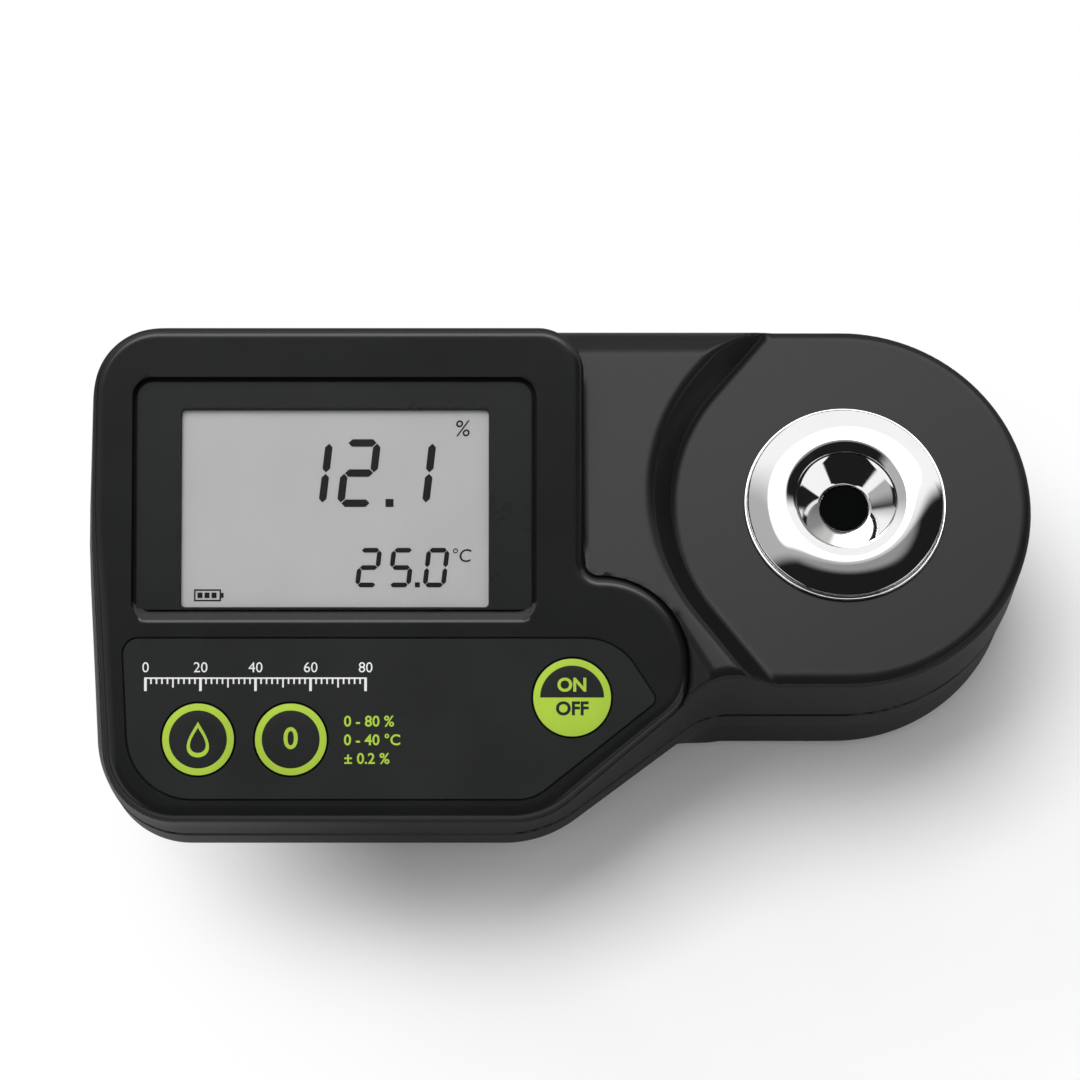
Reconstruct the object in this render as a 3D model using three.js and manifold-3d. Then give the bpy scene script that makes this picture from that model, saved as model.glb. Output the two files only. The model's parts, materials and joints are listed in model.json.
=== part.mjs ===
// Digital refractometer: a moulded two-part case with a tilted display and keypad panel,
// a steel sample well over a prism, and a 9 V battery behind a quarter-turn cover.
// Millimetres, +X to the right, +Y to the rear, +Z up; the feet stand on Z = 0.

import * as THREE from 'three';
import { mergeVertices } from 'three/addons/utils/BufferGeometryUtils.js';
import Module from 'manifold-3d';

const wasm = await Module();
wasm.setup();

// Overall size
const overallLength = 192;
const overallDepth = 101.4;
const overallHeight = 67;

// Clearances
const fitGap = 0.3;
const slideGap = 0.4;
const overrun = 8;

// Case
const footHeight = 2;
const seamHeight = 26;
const discHeight = 48;
const stepHeight = 6;
const wall = 2.5;
const notchDepth = 25;
const upperDraft = 0.4;
const edgeFillet = 2;
const deckRearFillet = 7;
const headInnerSetback = 31.8;
const hiddenCorner = 5;
const frontLeftCorner = 17;
const rearLeftCorner = 17;
const sideBow = 0.6;
const frontLeftTaper = 3.3;
const diagonalStartSetback = 61;
const diagonalEndSetback = 28;
const diagonalFrontBlend = 24;
const diagonalHeadBlend = 16;

// Step between the deck and the round head
const stepInset = 1.8;
const stepRun = 4.7;
const stepShiftX = 1.6;
const stepShiftY = 0.3;
const stepReach = 60;
const stepFrontAngle = 218;
const stepRearAngle = 140;

// Deck and the valley beside the panel's lobe
const deckInnerOverlap = 7.7;
const deckDiagonalSetback = 45.8;
const deckDiagonalInset = 1.2;
const deckFarSetback = 7.8;
const valleyRearInset = 2.7;
const valleyRearDrop = 7;
const valleyFrontRise = 1.7;
const valleyFrontShift = 0.3;
const valleySlope = 42;

// Tilted front panel, in its own plane: x to the right, y up the slope from the case's middle
const panelTilt = 14;
const panelThickness = 2.5;
const panelRearInset = 6.1;
const panelRightSetback = 53.1;
const panelRearLeftInset = 3.1;
const panelBowInset = 2.6;
const panelBowY = 4;
const panelFrontLeftInset = 5.6;
const panelFrontReach = 1.6;
const panelDiagonalShift = 0.2;
const panelRearLeftCorner = 13;
const panelRearRightCorner = 9;
const panelFrontLeftCorner = 13;
const panelDiagonalCorner = 18;
const panelBowRadius = 200;
const lobeDepth = 47;
const lobeReach = 21;
const lobeRadius = 17.7;
const lobeTipHeight = 24.4;
const lobeTipCorner = 10;
const lobeInnerCorner = 3.2;
const shoulderSide = 0.1;
const shoulderFront = 0.8;
const shoulderFillet = 1.2;
const waistShare = 0.2;
const waistHeightShare = 0.62;

// Display window and the glass behind it
const windowLeftMargin = 7.7;
const windowRightMargin = 9.3;
const windowRearMargin = 9.9;
const keypadDepth = 38.1;
const windowCorner = 4;
const windowGroove = 0.9;
const windowRampRun = 2.1;
const windowRampDrop = 1.2;
const windowTopDrop = 0.3;
const windowThickness = 2.2;
const glassSideMargin = 7.3;
const glassRearMargin = 3.7;
const glassFrontMargin = 2.4;
const glassThickness = 2;
const glassTopDrop = 3.2;
const holderMargin = 3;
const holderRim = 3.4;
const stripWidth = 2;
const stripEndMargin = 4;

// Keypad overlay
const overlayRearMargin = 3.4;
const overlayLeftMargin = 5.7;
const overlayFrontLeftTaper = 1.4;
const overlayFrontMargin = 2.9;
const overlayDiagonalMargin = 1.9;
const overlayTipMargin = 6.3;
const overlayTipDrop = 2;
const overlayLobeMargin = 14.3;
const overlayRearCorner = 3;
const overlayFrontCorner = 13;
const overlayDiagonalCorner = 9;
const overlayTipCorner = 1.6;
const overlayLobeCorner = 12;
const overlayThickness = 0.5;
const overlayDrop = 0.05;
const overlayGroove = 0.35;

// Keys
const keyRadius = 7.2;
const powerKeyRadius = 7.8;
const keyRowMargin = 11.8;
const readKeyMargin = 15.5;
const keyPitch = 18.4;
const powerKeyMargin = 16.9;
const powerKeyDrop = 11.7;
const keyProud = 0.25;
const keyCrown = 0.35;
const keyFlange = 1.1;
const keyFlangeThickness = 0.6;
const keyStemRadius = 2.4;
const keyTravel = 0.4;
const keySpare = 0.15;

// Main circuit board, hung under the case's top plate
const boardThickness = 1.6;
const boardDrop = 10;
const boardLeftMargin = 8;
const boardRightMargin = 3.3;
const boardLobeMargin = 12.7;
const boardLobeRearMargin = 8.7;
const boardRearMargin = 12.6;
const boardFrontMargin = 6.3;
const boardCutWidth = 14;
const boardCutDepth = 20;
const boardDiagonalMargin = 5.6;
const boardDiagonalDrop = 1.1;
const boardCorner = 2;
const switchSide = 6;
const switchHeight = 3.5;
const switchButtonRadius = 1.7;
const chipSide = 12;
const chipHeight = 1.4;
const chipMarginX = 15.3;
const chipMarginY = 9.6;
const socketWidth = 12;
const socketDepth = 4;
const socketHeight = 2.4;
const socketMarginX = 9.4;
const socketMarginY = 13.3;
const boardScrewInset = 3.5;
const boardScrewCutMargin = 6;
const boardScrewLobeMargin = 7;
const boardBossRadius = 2.6;
const boardScrewRadius = 1.1;
const boardScrewHead = 2;
const boardScrewHeadHeight = 1.4;
const boardScrewLength = 5;

// Sample well
const ringRadius = 20.5;
const ringLip = 0.6;
const ringCrestRadius = 12.6;
const ringCrestHeight = 4;
const ringCrestRound = 0.5;
const ringDomeShare = 0.56;
const funnelThroatRadius = 10.2;
const funnelThroatDepth = 3.4;
const funnelMouthDepth = 6.1;
const prismRadius = 5.2;
const prismDrop = 2.4;
const ringFloorDepth = 4.5;
const neckRadius = 18.4;
const neckWall = 2.9;
const neckLength = 7.5;
const sealWidth = 1.3;
const sealHeight = 0.9;
const nutHeight = 3.8;
const nutWidth = 3.3;
const nutSlotWidth = 4;
const nutSlotDepth = 1.2;
const nutSlots = 4;

// Optics under the prism
const prismFlangeRadius = 8;
const prismFlangeHeight = 1.5;
const prismLength = 4.6;
const opticsBodyRadius = 10.5;
const opticsBodyLength = 15.7;
const opticsFlangeHeight = 3.7;
const opticsScrewCircle = 12.6;
const opticsScrewRadius = 1.2;
const opticsScrewHead = 1.8;
const opticsScrewHeadHeight = 1.6;
const opticsScrewBite = 2;
const opticsScrews = 3;
const opticsScrewStart = 30;
const barrelBottom = 5.5;
const barrelHeight = 5;
const barrelBore = 5;
const lensThickness = 2.4;
const lensEdge = 1.2;
const sensorBoardThickness = 1.6;
const sensorSide = 8;
const sensorHeight = 1.2;
const lampRadius = 1.5;
const lampHeight = 3.6;
const lampX = 6.2;
const probeRadius = 1.6;
const probeLength = 6;
const probeAngle = 90;

// Lower case
const undercut = 5.5;
const headUndercut = 0.3;
const undercutStartSetback = 27.8;
const undercutFullSetback = 43.8;
const undercutTop = 17;
const bandInset = 0.3;
const bottomFillet = 2.5;
const gasketInset = 1.5;
const gasketWidth = 0.8;
const gasketHeight = 1;
const screwBossRadius = 3.4;
const screwRadius = 1.5;
const screwHead = 2.8;
const screwHeadHeight = 2;
const screwSink = 5;
const screwBite = 7;

const leftScrewMargin = 14;
const rearScrewMargin = 11.7;
const frontScrewMargin = 12.1;
const middleScrewSetback = 43.8;
const middleScrewMargin = 9.7;
const notchScrewSetback = 33.8;
const notchScrewMargin = 5.7;
const headScrewInset = 8.4;
const headScrewAngles = [-29, 49.5];

// Feet
const footRadius = 5;
const leftFootMargin = 28;
const rearFootMargin = 11.7;
const frontFootMargin = 13.7;
const headFootShift = 8.2;
const headFootInset = 9.7;
const footSeat = 0.7;
const footRound = 0.6;

// Battery and its bay
const bayMargin = 46;
const bayY = 2;
const bayRadius = 32;
const bayWall = 1.8;
const bayTop = 25.8;
const bayCeiling = 1.6;
const batteryLength = 48.5;
const batteryWidth = 26.5;
const batteryHeight = 17.5;
const batteryCorner = 2.5;
const batteryShiftX = -3;
const snapThickness = 4;
const snapWidth = 24;
const snapHeight = 12;
const leadRadius = 0.7;
const leadSpacing = 6;
const leadHoleRadius = 5;
const leadSpread = 5;

// Quarter-turn battery cover
const coverRadius = 31;
const coverThickness = 1.5;
const coverRecess = 0.3;
const coverRimRadius = 28.2;
const coverRimWidth = 2;
const lipThickness = 1.6;
const lugReach = 2;
const lugHeight = 1.6;
const lugAngle = 22;
const lugCount = 3;
const coverTurn = 50;
const coinSlotLength = 26;
const coinSlotWidth = 2.4;
const coinSlotDepth = 1.2;
const gripRibs = 5;
const gripRibWidth = 1.2;
const gripRibLength = 9;
const gripRibDepth = 0.8;
const gripRibPitch = 3;
const gripOffset = 17;

// Facet counts
const roundSteps = 28;
const smallSteps = 8;
const keySteps = 24;
const filletSteps = 2;

// Materials
function finish(color, roughness, metalness) {
  return new THREE.MeshStandardMaterial({ color, roughness, metalness });
}

const caseGrey = finish('#3f4041', 0.5, 0);
const panelBlack = finish('#26282a', 0.35, 0);
const overlayBlack = finish('#2a2c2e', 0.45, 0);
const keyBlack = finish('#27292b', 0.4, 0);
const steel = finish('#c9cbcc', 0.12, 1);
const screwSteel = finish('#9a9c9e', 0.35, 1);
const brassTone = finish('#b8934a', 0.35, 1);
const rubberBlack = finish('#1b1b1b', 0.8, 0);
const windowClear = finish('#3a3c3e', 0.1, 0);
const glassGrey = finish('#b6b8b4', 0.2, 0);
const opticGlass = finish('#10181a', 0.05, 0);
const boardGreen = finish('#1f5a34', 0.5, 0);
const chipBlack = finish('#161616', 0.6, 0);
const innerPlastic = finish('#2c2c2c', 0.6, 0);
const ribbonGrey = finish('#c8c4b4', 0.6, 0);
const batteryShell = finish('#34383c', 0.4, 0.2);
const leadRed = finish('#a02018', 0.5, 0);
const leadBlack = finish('#141414', 0.5, 0);

// Derived places
const right = overallLength / 2;
const left = -right;
const rear = overallDepth / 2;
const front = -rear;
const headRadius = (overallDepth - notchDepth) / 2;
const headX = right - headRadius;
const headY = rear - headRadius;
const headFront = headY - headRadius;
const deckHeight = discHeight + stepHeight;
const diagonalStartX = headX - diagonalStartSetback;
const diagonalEndX = headX - diagonalEndSetback;
const panelRear = rear - panelRearInset;
const panelRight = headX - panelRightSetback;
const panelFront = front - panelFrontReach;
const panelDiagonalX = diagonalStartX - panelDiagonalShift;
const lobeRear = panelFront + lobeDepth;
const lobeRight = panelRight + lobeReach;
const lobeTip = panelFront + lobeTipHeight;
const windowLeft = left + panelRearLeftInset + windowLeftMargin;
const windowRight = panelRight - windowRightMargin;
const windowRear = panelRear - windowRearMargin;
const windowFront = panelFront + keypadDepth;
const glassLeft = windowLeft + glassSideMargin;
const glassRight = windowRight - glassSideMargin;
const glassRear = windowRear - glassRearMargin;
const glassFront = windowFront + glassFrontMargin;
const overlayRear = windowFront - overlayRearMargin;
const overlayLeft = left + panelRearLeftInset + overlayLeftMargin;
const overlayFront = panelFront + overlayFrontMargin;
const overlayTipX = lobeRight - overlayTipMargin;
const overlayTipY = lobeTip - overlayTipDrop;
const readKeyX = overlayLeft + readKeyMargin;
const zeroKeyX = readKeyX + keyPitch;
const keyRow = overlayFront + keyRowMargin;
const powerKeyX = overlayTipX - powerKeyMargin;
const powerKeyY = overlayRear - powerKeyDrop;
const boardLeft = left + boardLeftMargin;
const boardRight = panelRight - boardRightMargin;
const boardLobeRight = lobeRight - boardLobeMargin;
const boardLobeRear = lobeRear - boardLobeRearMargin;
const boardRear = panelRear - boardRearMargin;
const boardFront = panelFront + boardFrontMargin;
const boardCutY = boardFront + boardCutDepth;
const socketX = boardRight - socketMarginX;
const socketY = lobeRear + socketMarginY;
const bayX = left + bayMargin;
const stepRadius = headRadius - stepInset;
const headScrewCircle = headRadius - headScrewInset;
const headFootReach = headRadius - headFootInset;
const stepX = headX + stepShiftX;
const stepY = headY + stepShiftY;
const upperBottom = seamHeight + fitGap / 2;
const lowerTop = seamHeight - fitGap / 2;
const tilt = THREE.MathUtils.degToRad(panelTilt);
const panelOriginZ = overallHeight - edgeFillet
  - (panelRear - edgeFillet) * Math.sin(tilt) + edgeFillet * Math.cos(tilt);
const plateTop = -panelThickness - fitGap;
const plateBottom = plateTop - wall;
const boardTop = -boardDrop;
const boardBottom = boardTop - boardThickness;

// The panel's own frame, as a group and as a matrix for what the case shares with it
const panelGroup = new THREE.Group();
panelGroup.position.set(0, 0, panelOriginZ);
panelGroup.rotation.set(tilt, 0, 0);
panelGroup.updateMatrix();
const panelMatrix = panelGroup.matrix;

function panelPoint(x, y, h) {
  return new THREE.Vector3(x, y, h).applyMatrix4(panelMatrix);
}

// Closed geometry to solid and back
function toSolid(geometry) {
  const bare = geometry.clone();
  for (const name of ['normal', 'uv']) bare.deleteAttribute(name);
  const merged = mergeVertices(bare, 1e-5);
  const points = merged.attributes.position;
  const faces = merged.index.array;
  const corner = [new THREE.Vector3(), new THREE.Vector3(), new THREE.Vector3()];
  let volume = 0;
  const kept = [];
  for (let i = 0; i < faces.length; i += 3) {
    const [a, b, c] = [faces[i], faces[i + 1], faces[i + 2]];
    if (a === b || b === c || c === a) continue;
    corner.forEach((v, k) => v.fromBufferAttribute(points, faces[i + k]));
    volume += corner[0].dot(corner[1].clone().cross(corner[2]));
    kept.push(a, b, c);
  }
  if (volume < 0) kept.reverse();
  return new wasm.Manifold(new wasm.Mesh({
    numProp: 3,
    vertProperties: new Float32Array(points.array),
    triVerts: new Uint32Array(kept),
  }));
}

function toGeometry(solid) {
  const { vertProperties, triVerts, numProp } = solid.getMesh();
  const points = new Float32Array(vertProperties.length / numProp * 3);
  for (let i = 0; i < points.length / 3; i++) {
    for (let k = 0; k < 3; k++) points[i * 3 + k] = vertProperties[i * numProp + k];
  }
  const geometry = new THREE.BufferGeometry();
  geometry.setAttribute('position', new THREE.BufferAttribute(points, 3));
  geometry.setIndex(new THREE.BufferAttribute(new Uint32Array(triVerts), 1));
  geometry.computeVertexNormals();
  return geometry;
}

function union(solids) {
  return solids.reduce((sum, solid) => sum.add(solid));
}

function inPanel(geometry) {
  return geometry.clone().applyMatrix4(panelMatrix);
}

// Basic forms, all standing along +Z
function cylinder(radius, bottom, top, x = 0, y = 0, steps = roundSteps) {
  const geometry = new THREE.CylinderGeometry(radius, radius, top - bottom, steps);
  return geometry.rotateX(Math.PI / 2).translate(x, y, (top + bottom) / 2);
}

function box(x0, x1, y0, y1, z0, z1) {
  const geometry = new THREE.BoxGeometry(x1 - x0, y1 - y0, z1 - z0);
  return geometry.translate((x0 + x1) / 2, (y0 + y1) / 2, (z0 + z1) / 2);
}

function centredBox(width, depth, z0, z1, x = 0, y = 0) {
  return box(x - width / 2, x + width / 2, y - depth / 2, y + depth / 2, z0, z1);
}

function lathe(profile, steps = roundSteps) {
  const points = profile.map(([r, z]) => new THREE.Vector2(r, z));
  points.push(points[0].clone());
  return new THREE.LatheGeometry(points, steps).rotateX(Math.PI / 2);
}

function arcProfile(cx, cz, radius, from, to, steps) {
  const points = [];
  for (let i = 0; i <= steps; i++) {
    const angle = THREE.MathUtils.degToRad(from + (to - from) * i / steps);
    points.push([cx + radius * Math.cos(angle), cz + radius * Math.sin(angle)]);
  }
  return points;
}

// An outline is sampled from corners [x, y, radius, steps], counter-clockwise;
// every sample keeps its outward normal, so that it can be moved in and out evenly.
function outline(corners) {
  const samples = [];
  corners.forEach(([x, y, radius, steps], i) => {
    const [px, py] = corners[(i + corners.length - 1) % corners.length];
    const [qx, qy] = corners[(i + 1) % corners.length];
    const into = new THREE.Vector2(x - px, y - py).normalize();
    const out = new THREE.Vector2(qx - x, qy - y).normalize();
    const turn = Math.atan2(into.cross(out), into.dot(out));
    const side = Math.sign(turn);
    const reach = radius * Math.tan(Math.abs(turn) / 2);
    const startX = x - into.x * reach;
    const startY = y - into.y * reach;
    const centreX = startX - side * into.y * radius;
    const centreY = startY + side * into.x * radius;
    for (let k = 0; k <= steps; k++) {
      const angle = Math.atan2(into.y, into.x) + turn * k / steps;
      const nx = Math.sin(angle);
      const ny = -Math.cos(angle);
      samples.push({ x: centreX + side * nx * radius, y: centreY + side * ny * radius, nx, ny });
    }
  });
  return samples;
}

function grown(samples, amount) {
  return samples.map((s) => {
    const by = typeof amount === 'function' ? amount(s) : amount;
    return { ...s, x: s.x + s.nx * by, y: s.y + s.ny * by };
  });
}

function flatRing(samples, z) {
  return samples.map((s) => new THREE.Vector3(s.x, s.y, z));
}

function panelRing(samples, h) {
  return samples.map((s) => panelPoint(s.x, s.y, h));
}

// A closed solid through rings of equal count, from the lowest to the highest
function loft(rings) {
  const count = rings[0].length;
  const points = rings.flat();
  const faces = [];
  for (let r = 0; r + 1 < rings.length; r++) {
    for (let i = 0; i < count; i++) {
      const a = r * count + i;
      const b = r * count + (i + 1) % count;
      faces.push(a, b, b + count, a, b + count, a + count);
    }
  }
  const cap = (ring, base, up) => {
    const contour = ring.map((p) => new THREE.Vector2(p.x, p.y));
    for (const [a, b, c] of THREE.ShapeUtils.triangulateShape(contour, [])) {
      if (up) faces.push(base + a, base + b, base + c);
      else faces.push(base + a, base + c, base + b);
    }
  };
  cap(rings[0], 0, false);
  cap(rings[rings.length - 1], (rings.length - 1) * count, true);
  const geometry = new THREE.BufferGeometry().setFromPoints(points);
  geometry.setIndex(faces);
  return geometry;
}

function prism(samples, bottom, top) {
  return loft([flatRing(samples, bottom), flatRing(samples, top)]);
}

// Insets and drops of a quarter-round edge, from the wall to the top
function quarterRound(radius, steps = filletSteps) {
  const rings = [];
  for (let i = 0; i <= steps; i++) {
    const angle = Math.PI / 2 * i / steps;
    rings.push({ inset: radius * (1 - Math.cos(angle)), drop: radius * (1 - Math.sin(angle)) });
  }
  return rings;
}

// Outlines of the case at the seam
const diagonalCorners = [
  [diagonalStartX, front, diagonalFrontBlend, 4],
  [diagonalEndX, headFront, diagonalHeadBlend, 4],
];

const seamOutline = outline([
  [left + frontLeftTaper, front, frontLeftCorner, 6],
  ...diagonalCorners,
  [right, headFront, headRadius, 8],
  [right, rear, headRadius, 8],
  [left + sideBow, rear, rearLeftCorner, 4],
  [left, panelBowY, panelBowRadius, 1],
]);

function diagonalY(x) {
  const share = (x - diagonalStartX) / (diagonalEndX - diagonalStartX);
  return front + share * (headFront - front);
}

// The panel's corners, and the same corners where the case's block meets the seam
const panelOutline = outline([
  [left + panelFrontLeftInset, panelFront, panelFrontLeftCorner, 6],
  [panelDiagonalX, panelFront, panelDiagonalCorner, 4],
  [lobeRight, lobeTip, lobeTipCorner, 3],
  [lobeRight, lobeRear, lobeRadius, 6],
  [panelRight, lobeRear, lobeInnerCorner, 3],
  [panelRight, panelRear, panelRearRightCorner, 4],
  [left + panelRearLeftInset, panelRear, panelRearLeftCorner, 4],
  [left + panelBowInset, panelBowY, panelBowRadius, 1],
]);

const blockOutline = outline([
  [left + frontLeftTaper, front, frontLeftCorner, 6],
  [diagonalStartX, front, diagonalFrontBlend, 4],
  [lobeRight, diagonalY(lobeRight), lobeTipCorner, 3],
  [lobeRight, lobeRear, lobeRadius, 6],
  [panelRight, lobeRear, lobeInnerCorner, 3],
  [panelRight, rear, panelRearRightCorner, 4],
  [left + sideBow, rear, rearLeftCorner, 4],
  [left, panelBowY, panelBowRadius, 1],
]);

const blockTop = grown(panelOutline, (s) => {
  const facing = THREE.MathUtils.smoothstep(-s.ny, 1 / 5, 4 / 5);
  return shoulderSide + (shoulderFront - shoulderSide) * facing;
});

// The left block, from the seam up to the plate under the panel
function block(inset) {
  const base = grown(blockOutline, -inset);
  const top = grown(blockTop, -inset);
  const topDrop = plateTop - inset;
  const edge = inset > 0 ? [{ inset: 0, drop: 0 }] : quarterRound(shoulderFillet, 2);
  const upper = edge.map((e) => panelRing(grown(top, -e.inset), topDrop - e.drop));
  const low = flatRing(base, inset > 0 ? upperBottom - overrun : upperBottom);
  const waist = low.map((p, i) => new THREE.Vector3(
    THREE.MathUtils.lerp(p.x, upper[0][i].x, waistShare),
    THREE.MathUtils.lerp(p.y, upper[0][i].y, waistShare),
    THREE.MathUtils.lerp(upperBottom, upper[0][i].z, waistHeightShare),
  ));
  return toSolid(loft([low, waist, ...upper]));
}

// A straight-walled part of the case with draft and a rounded top edge
function slab(samples, inset, height, filletOf) {
  const top = height - inset;
  const bottom = inset > 0 ? upperBottom - overrun : upperBottom;
  const rings = [flatRing(grown(samples, -inset), bottom)];
  const shares = inset > 0 ? [{ inset: 0, drop: 0 }] : quarterRound(1);
  for (const share of shares) {
    rings.push(samples.map((s) => {
      const by = inset + upperDraft + share.inset * filletOf(s);
      return new THREE.Vector3(s.x - s.nx * by, s.y - s.ny * by, top - share.drop * filletOf(s));
    }));
  }
  return toSolid(loft(rings));
}

// The space over the round head, bounded by the sloped step
function stepSpace(grow) {
  const half = THREE.MathUtils.degToRad((stepFrontAngle - stepRearAngle) / 2);
  const middle = THREE.MathUtils.degToRad((stepFrontAngle + stepRearAngle) / 2);
  const cornerX = stepX + stepRadius / Math.cos(half) * Math.cos(middle);
  const cornerY = stepY + stepRadius / Math.cos(half) * Math.sin(middle);
  const frontTurn = THREE.MathUtils.degToRad(stepFrontAngle);
  const rearTurn = THREE.MathUtils.degToRad(stepRearAngle);
  const frontEndX = cornerX - stepReach * Math.sin(frontTurn);
  const frontEndY = cornerY + stepReach * Math.cos(frontTurn);
  const rearEndX = cornerX + stepReach * Math.sin(rearTurn);
  const rearEndY = cornerY - stepReach * Math.cos(rearTurn);
  const samples = outline([
    [frontEndX, frontEndY, hiddenCorner, 1],
    [right + overrun, frontEndY, hiddenCorner, 1],
    [right + overrun, rearEndY, hiddenCorner, 1],
    [rearEndX, rearEndY, hiddenCorner, 1],
    [cornerX, cornerY, stepRadius, 10],
  ]);
  const slope = stepRun / (deckHeight - discHeight);
  const low = discHeight - grow;
  const high = deckHeight + overrun;
  return toSolid(loft([
    flatRing(grown(samples, grow), low),
    flatRing(grown(samples, grow + (high - low) * slope), high),
  ]));
}

// The space over the slope beside the lobe, down to the plate under the panel
function valleySpace(grow) {
  const valleyRearX = lobeRight - valleyRearInset;
  const valleyRearY = lobeRear - valleyRearDrop;
  const valleyFrontX = diagonalEndX + valleyFrontShift;
  const valleyFrontY = headFront + valleyFrontRise;
  const along = new THREE.Vector2(valleyFrontX - valleyRearX, valleyFrontY - valleyRearY);
  const turn = Math.atan2(along.y, along.x);
  const reach = overallDepth / 2;
  const slope = Math.tan(THREE.MathUtils.degToRad(valleySlope));
  const shape = new THREE.Shape();
  shape.moveTo(grow, deckHeight);
  shape.lineTo(grow, deckHeight + overrun);
  shape.lineTo(-reach, deckHeight + overrun);
  shape.lineTo(-reach, deckHeight - reach * slope);
  shape.closePath();
  const wedge = new THREE.ExtrudeGeometry(shape, { depth: reach, bevelEnabled: false });
  const basis = new THREE.Matrix4().makeBasis(
    new THREE.Vector3(-Math.sin(turn), Math.cos(turn), 0),
    new THREE.Vector3(0, 0, 1),
    new THREE.Vector3(Math.cos(turn), Math.sin(turn), 0),
  );
  wedge.applyMatrix4(basis);
  wedge.translate(valleyRearX, valleyRearY, -grow);
  const belowPlate = box(left, right, front - overrun, rear, -overallHeight, plateTop - grow);
  return toSolid(wedge).subtract(toSolid(inPanel(belowPlate)));
}

// The space that the panel takes out of the deck beside it
function panelSpace(grow) {
  const samples = grown(panelOutline, fitGap + grow);
  return toSolid(inPanel(prism(samples, plateTop - grow, overrun * 2)));
}

// Everything that the upper case's outer skin holds, or that skin moved in by one wall
function upperBody(inset) {
  const headInnerX = headX - headInnerSetback;
  const deckInnerX = panelRight - deckInnerOverlap;
  const deckDiagonalX = headX - deckDiagonalSetback;
  const deckFarX = headX - deckFarSetback;
  const headOutline = outline([
    [headInnerX, headFront, hiddenCorner, 1],
    [right, headFront, headRadius, 8],
    [right, rear, headRadius, 8],
    [headInnerX, rear, hiddenCorner, 1],
  ]);
  const deckOutline = outline([
    [deckDiagonalX, diagonalY(deckDiagonalX) + deckDiagonalInset, hiddenCorner, 1],
    [diagonalEndX, headFront, diagonalHeadBlend, 4],
    [deckFarX, headFront, hiddenCorner, 1],
    [deckFarX, rear, hiddenCorner, 1],
    [deckInnerX, rear, hiddenCorner, 1],
    [deckInnerX, diagonalY(deckDiagonalX) + hiddenCorner * 2, hiddenCorner, 1],
  ]);
  const head = slab(headOutline, inset, discHeight, () => edgeFillet);
  const deckFillet = (s) => THREE.MathUtils.lerp(edgeFillet, deckRearFillet, Math.max(0, s.ny));
  const deck = slab(deckOutline, inset, deckHeight, deckFillet)
    .subtract(stepSpace(inset))
    .subtract(valleySpace(inset))
    .subtract(panelSpace(inset));
  return union([head, deck, block(inset)]);
}

// Places of the fasteners and feet
const headScrewPlaces = headScrewAngles.map((angle) => {
  const turn = THREE.MathUtils.degToRad(angle);
  return [headX + headScrewCircle * Math.cos(turn), headY + headScrewCircle * Math.sin(turn)];
});
const caseScrewPlaces = [
  [left + leftScrewMargin, rear - rearScrewMargin],
  [left + leftScrewMargin, front + frontScrewMargin],
  [headX - notchScrewSetback, headFront + notchScrewMargin],
  [headX - middleScrewSetback, rear - middleScrewMargin],
  ...headScrewPlaces,
];
const footPlaces = [
  [left + leftFootMargin, rear - rearFootMargin],
  [left + leftFootMargin, front + frontFootMargin],
  [headX + headFootShift, headY + headFootReach],
  [headX + headFootShift, headY - headFootReach],
];
const boardScrewPlaces = [
  [boardLeft + boardScrewInset, boardRear - boardScrewInset],
  [boardLeft + boardScrewInset, boardCutY + boardScrewCutMargin],
  [boardLobeRight - boardScrewInset, boardLobeRear - boardScrewLobeMargin],
  [boardRight - boardScrewInset, boardRear - boardScrewInset],
];
const keyPlaces = [
  { name: 'read', x: readKeyX, y: keyRow, radius: keyRadius },
  { name: 'zero', x: zeroKeyX, y: keyRow, radius: keyRadius },
  { name: 'power', x: powerKeyX, y: powerKeyY, radius: powerKeyRadius },
];

const windowOutline = outline([
  [windowLeft, windowFront, windowCorner, 4],
  [windowRight, windowFront, windowCorner, 4],
  [windowRight, windowRear, windowCorner, 4],
  [windowLeft, windowRear, windowCorner, 4],
]);

const overlayOutline = outline([
  [overlayLeft + overlayFrontLeftTaper, overlayFront, overlayFrontCorner, 7],
  [panelDiagonalX - overlayDiagonalMargin, overlayFront, overlayDiagonalCorner, 4],
  [overlayTipX, overlayTipY, overlayTipCorner, 3],
  [lobeRight - overlayLobeMargin, overlayRear, overlayLobeCorner, 6],
  [overlayLeft, overlayRear, overlayRearCorner, 4],
]);

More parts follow.
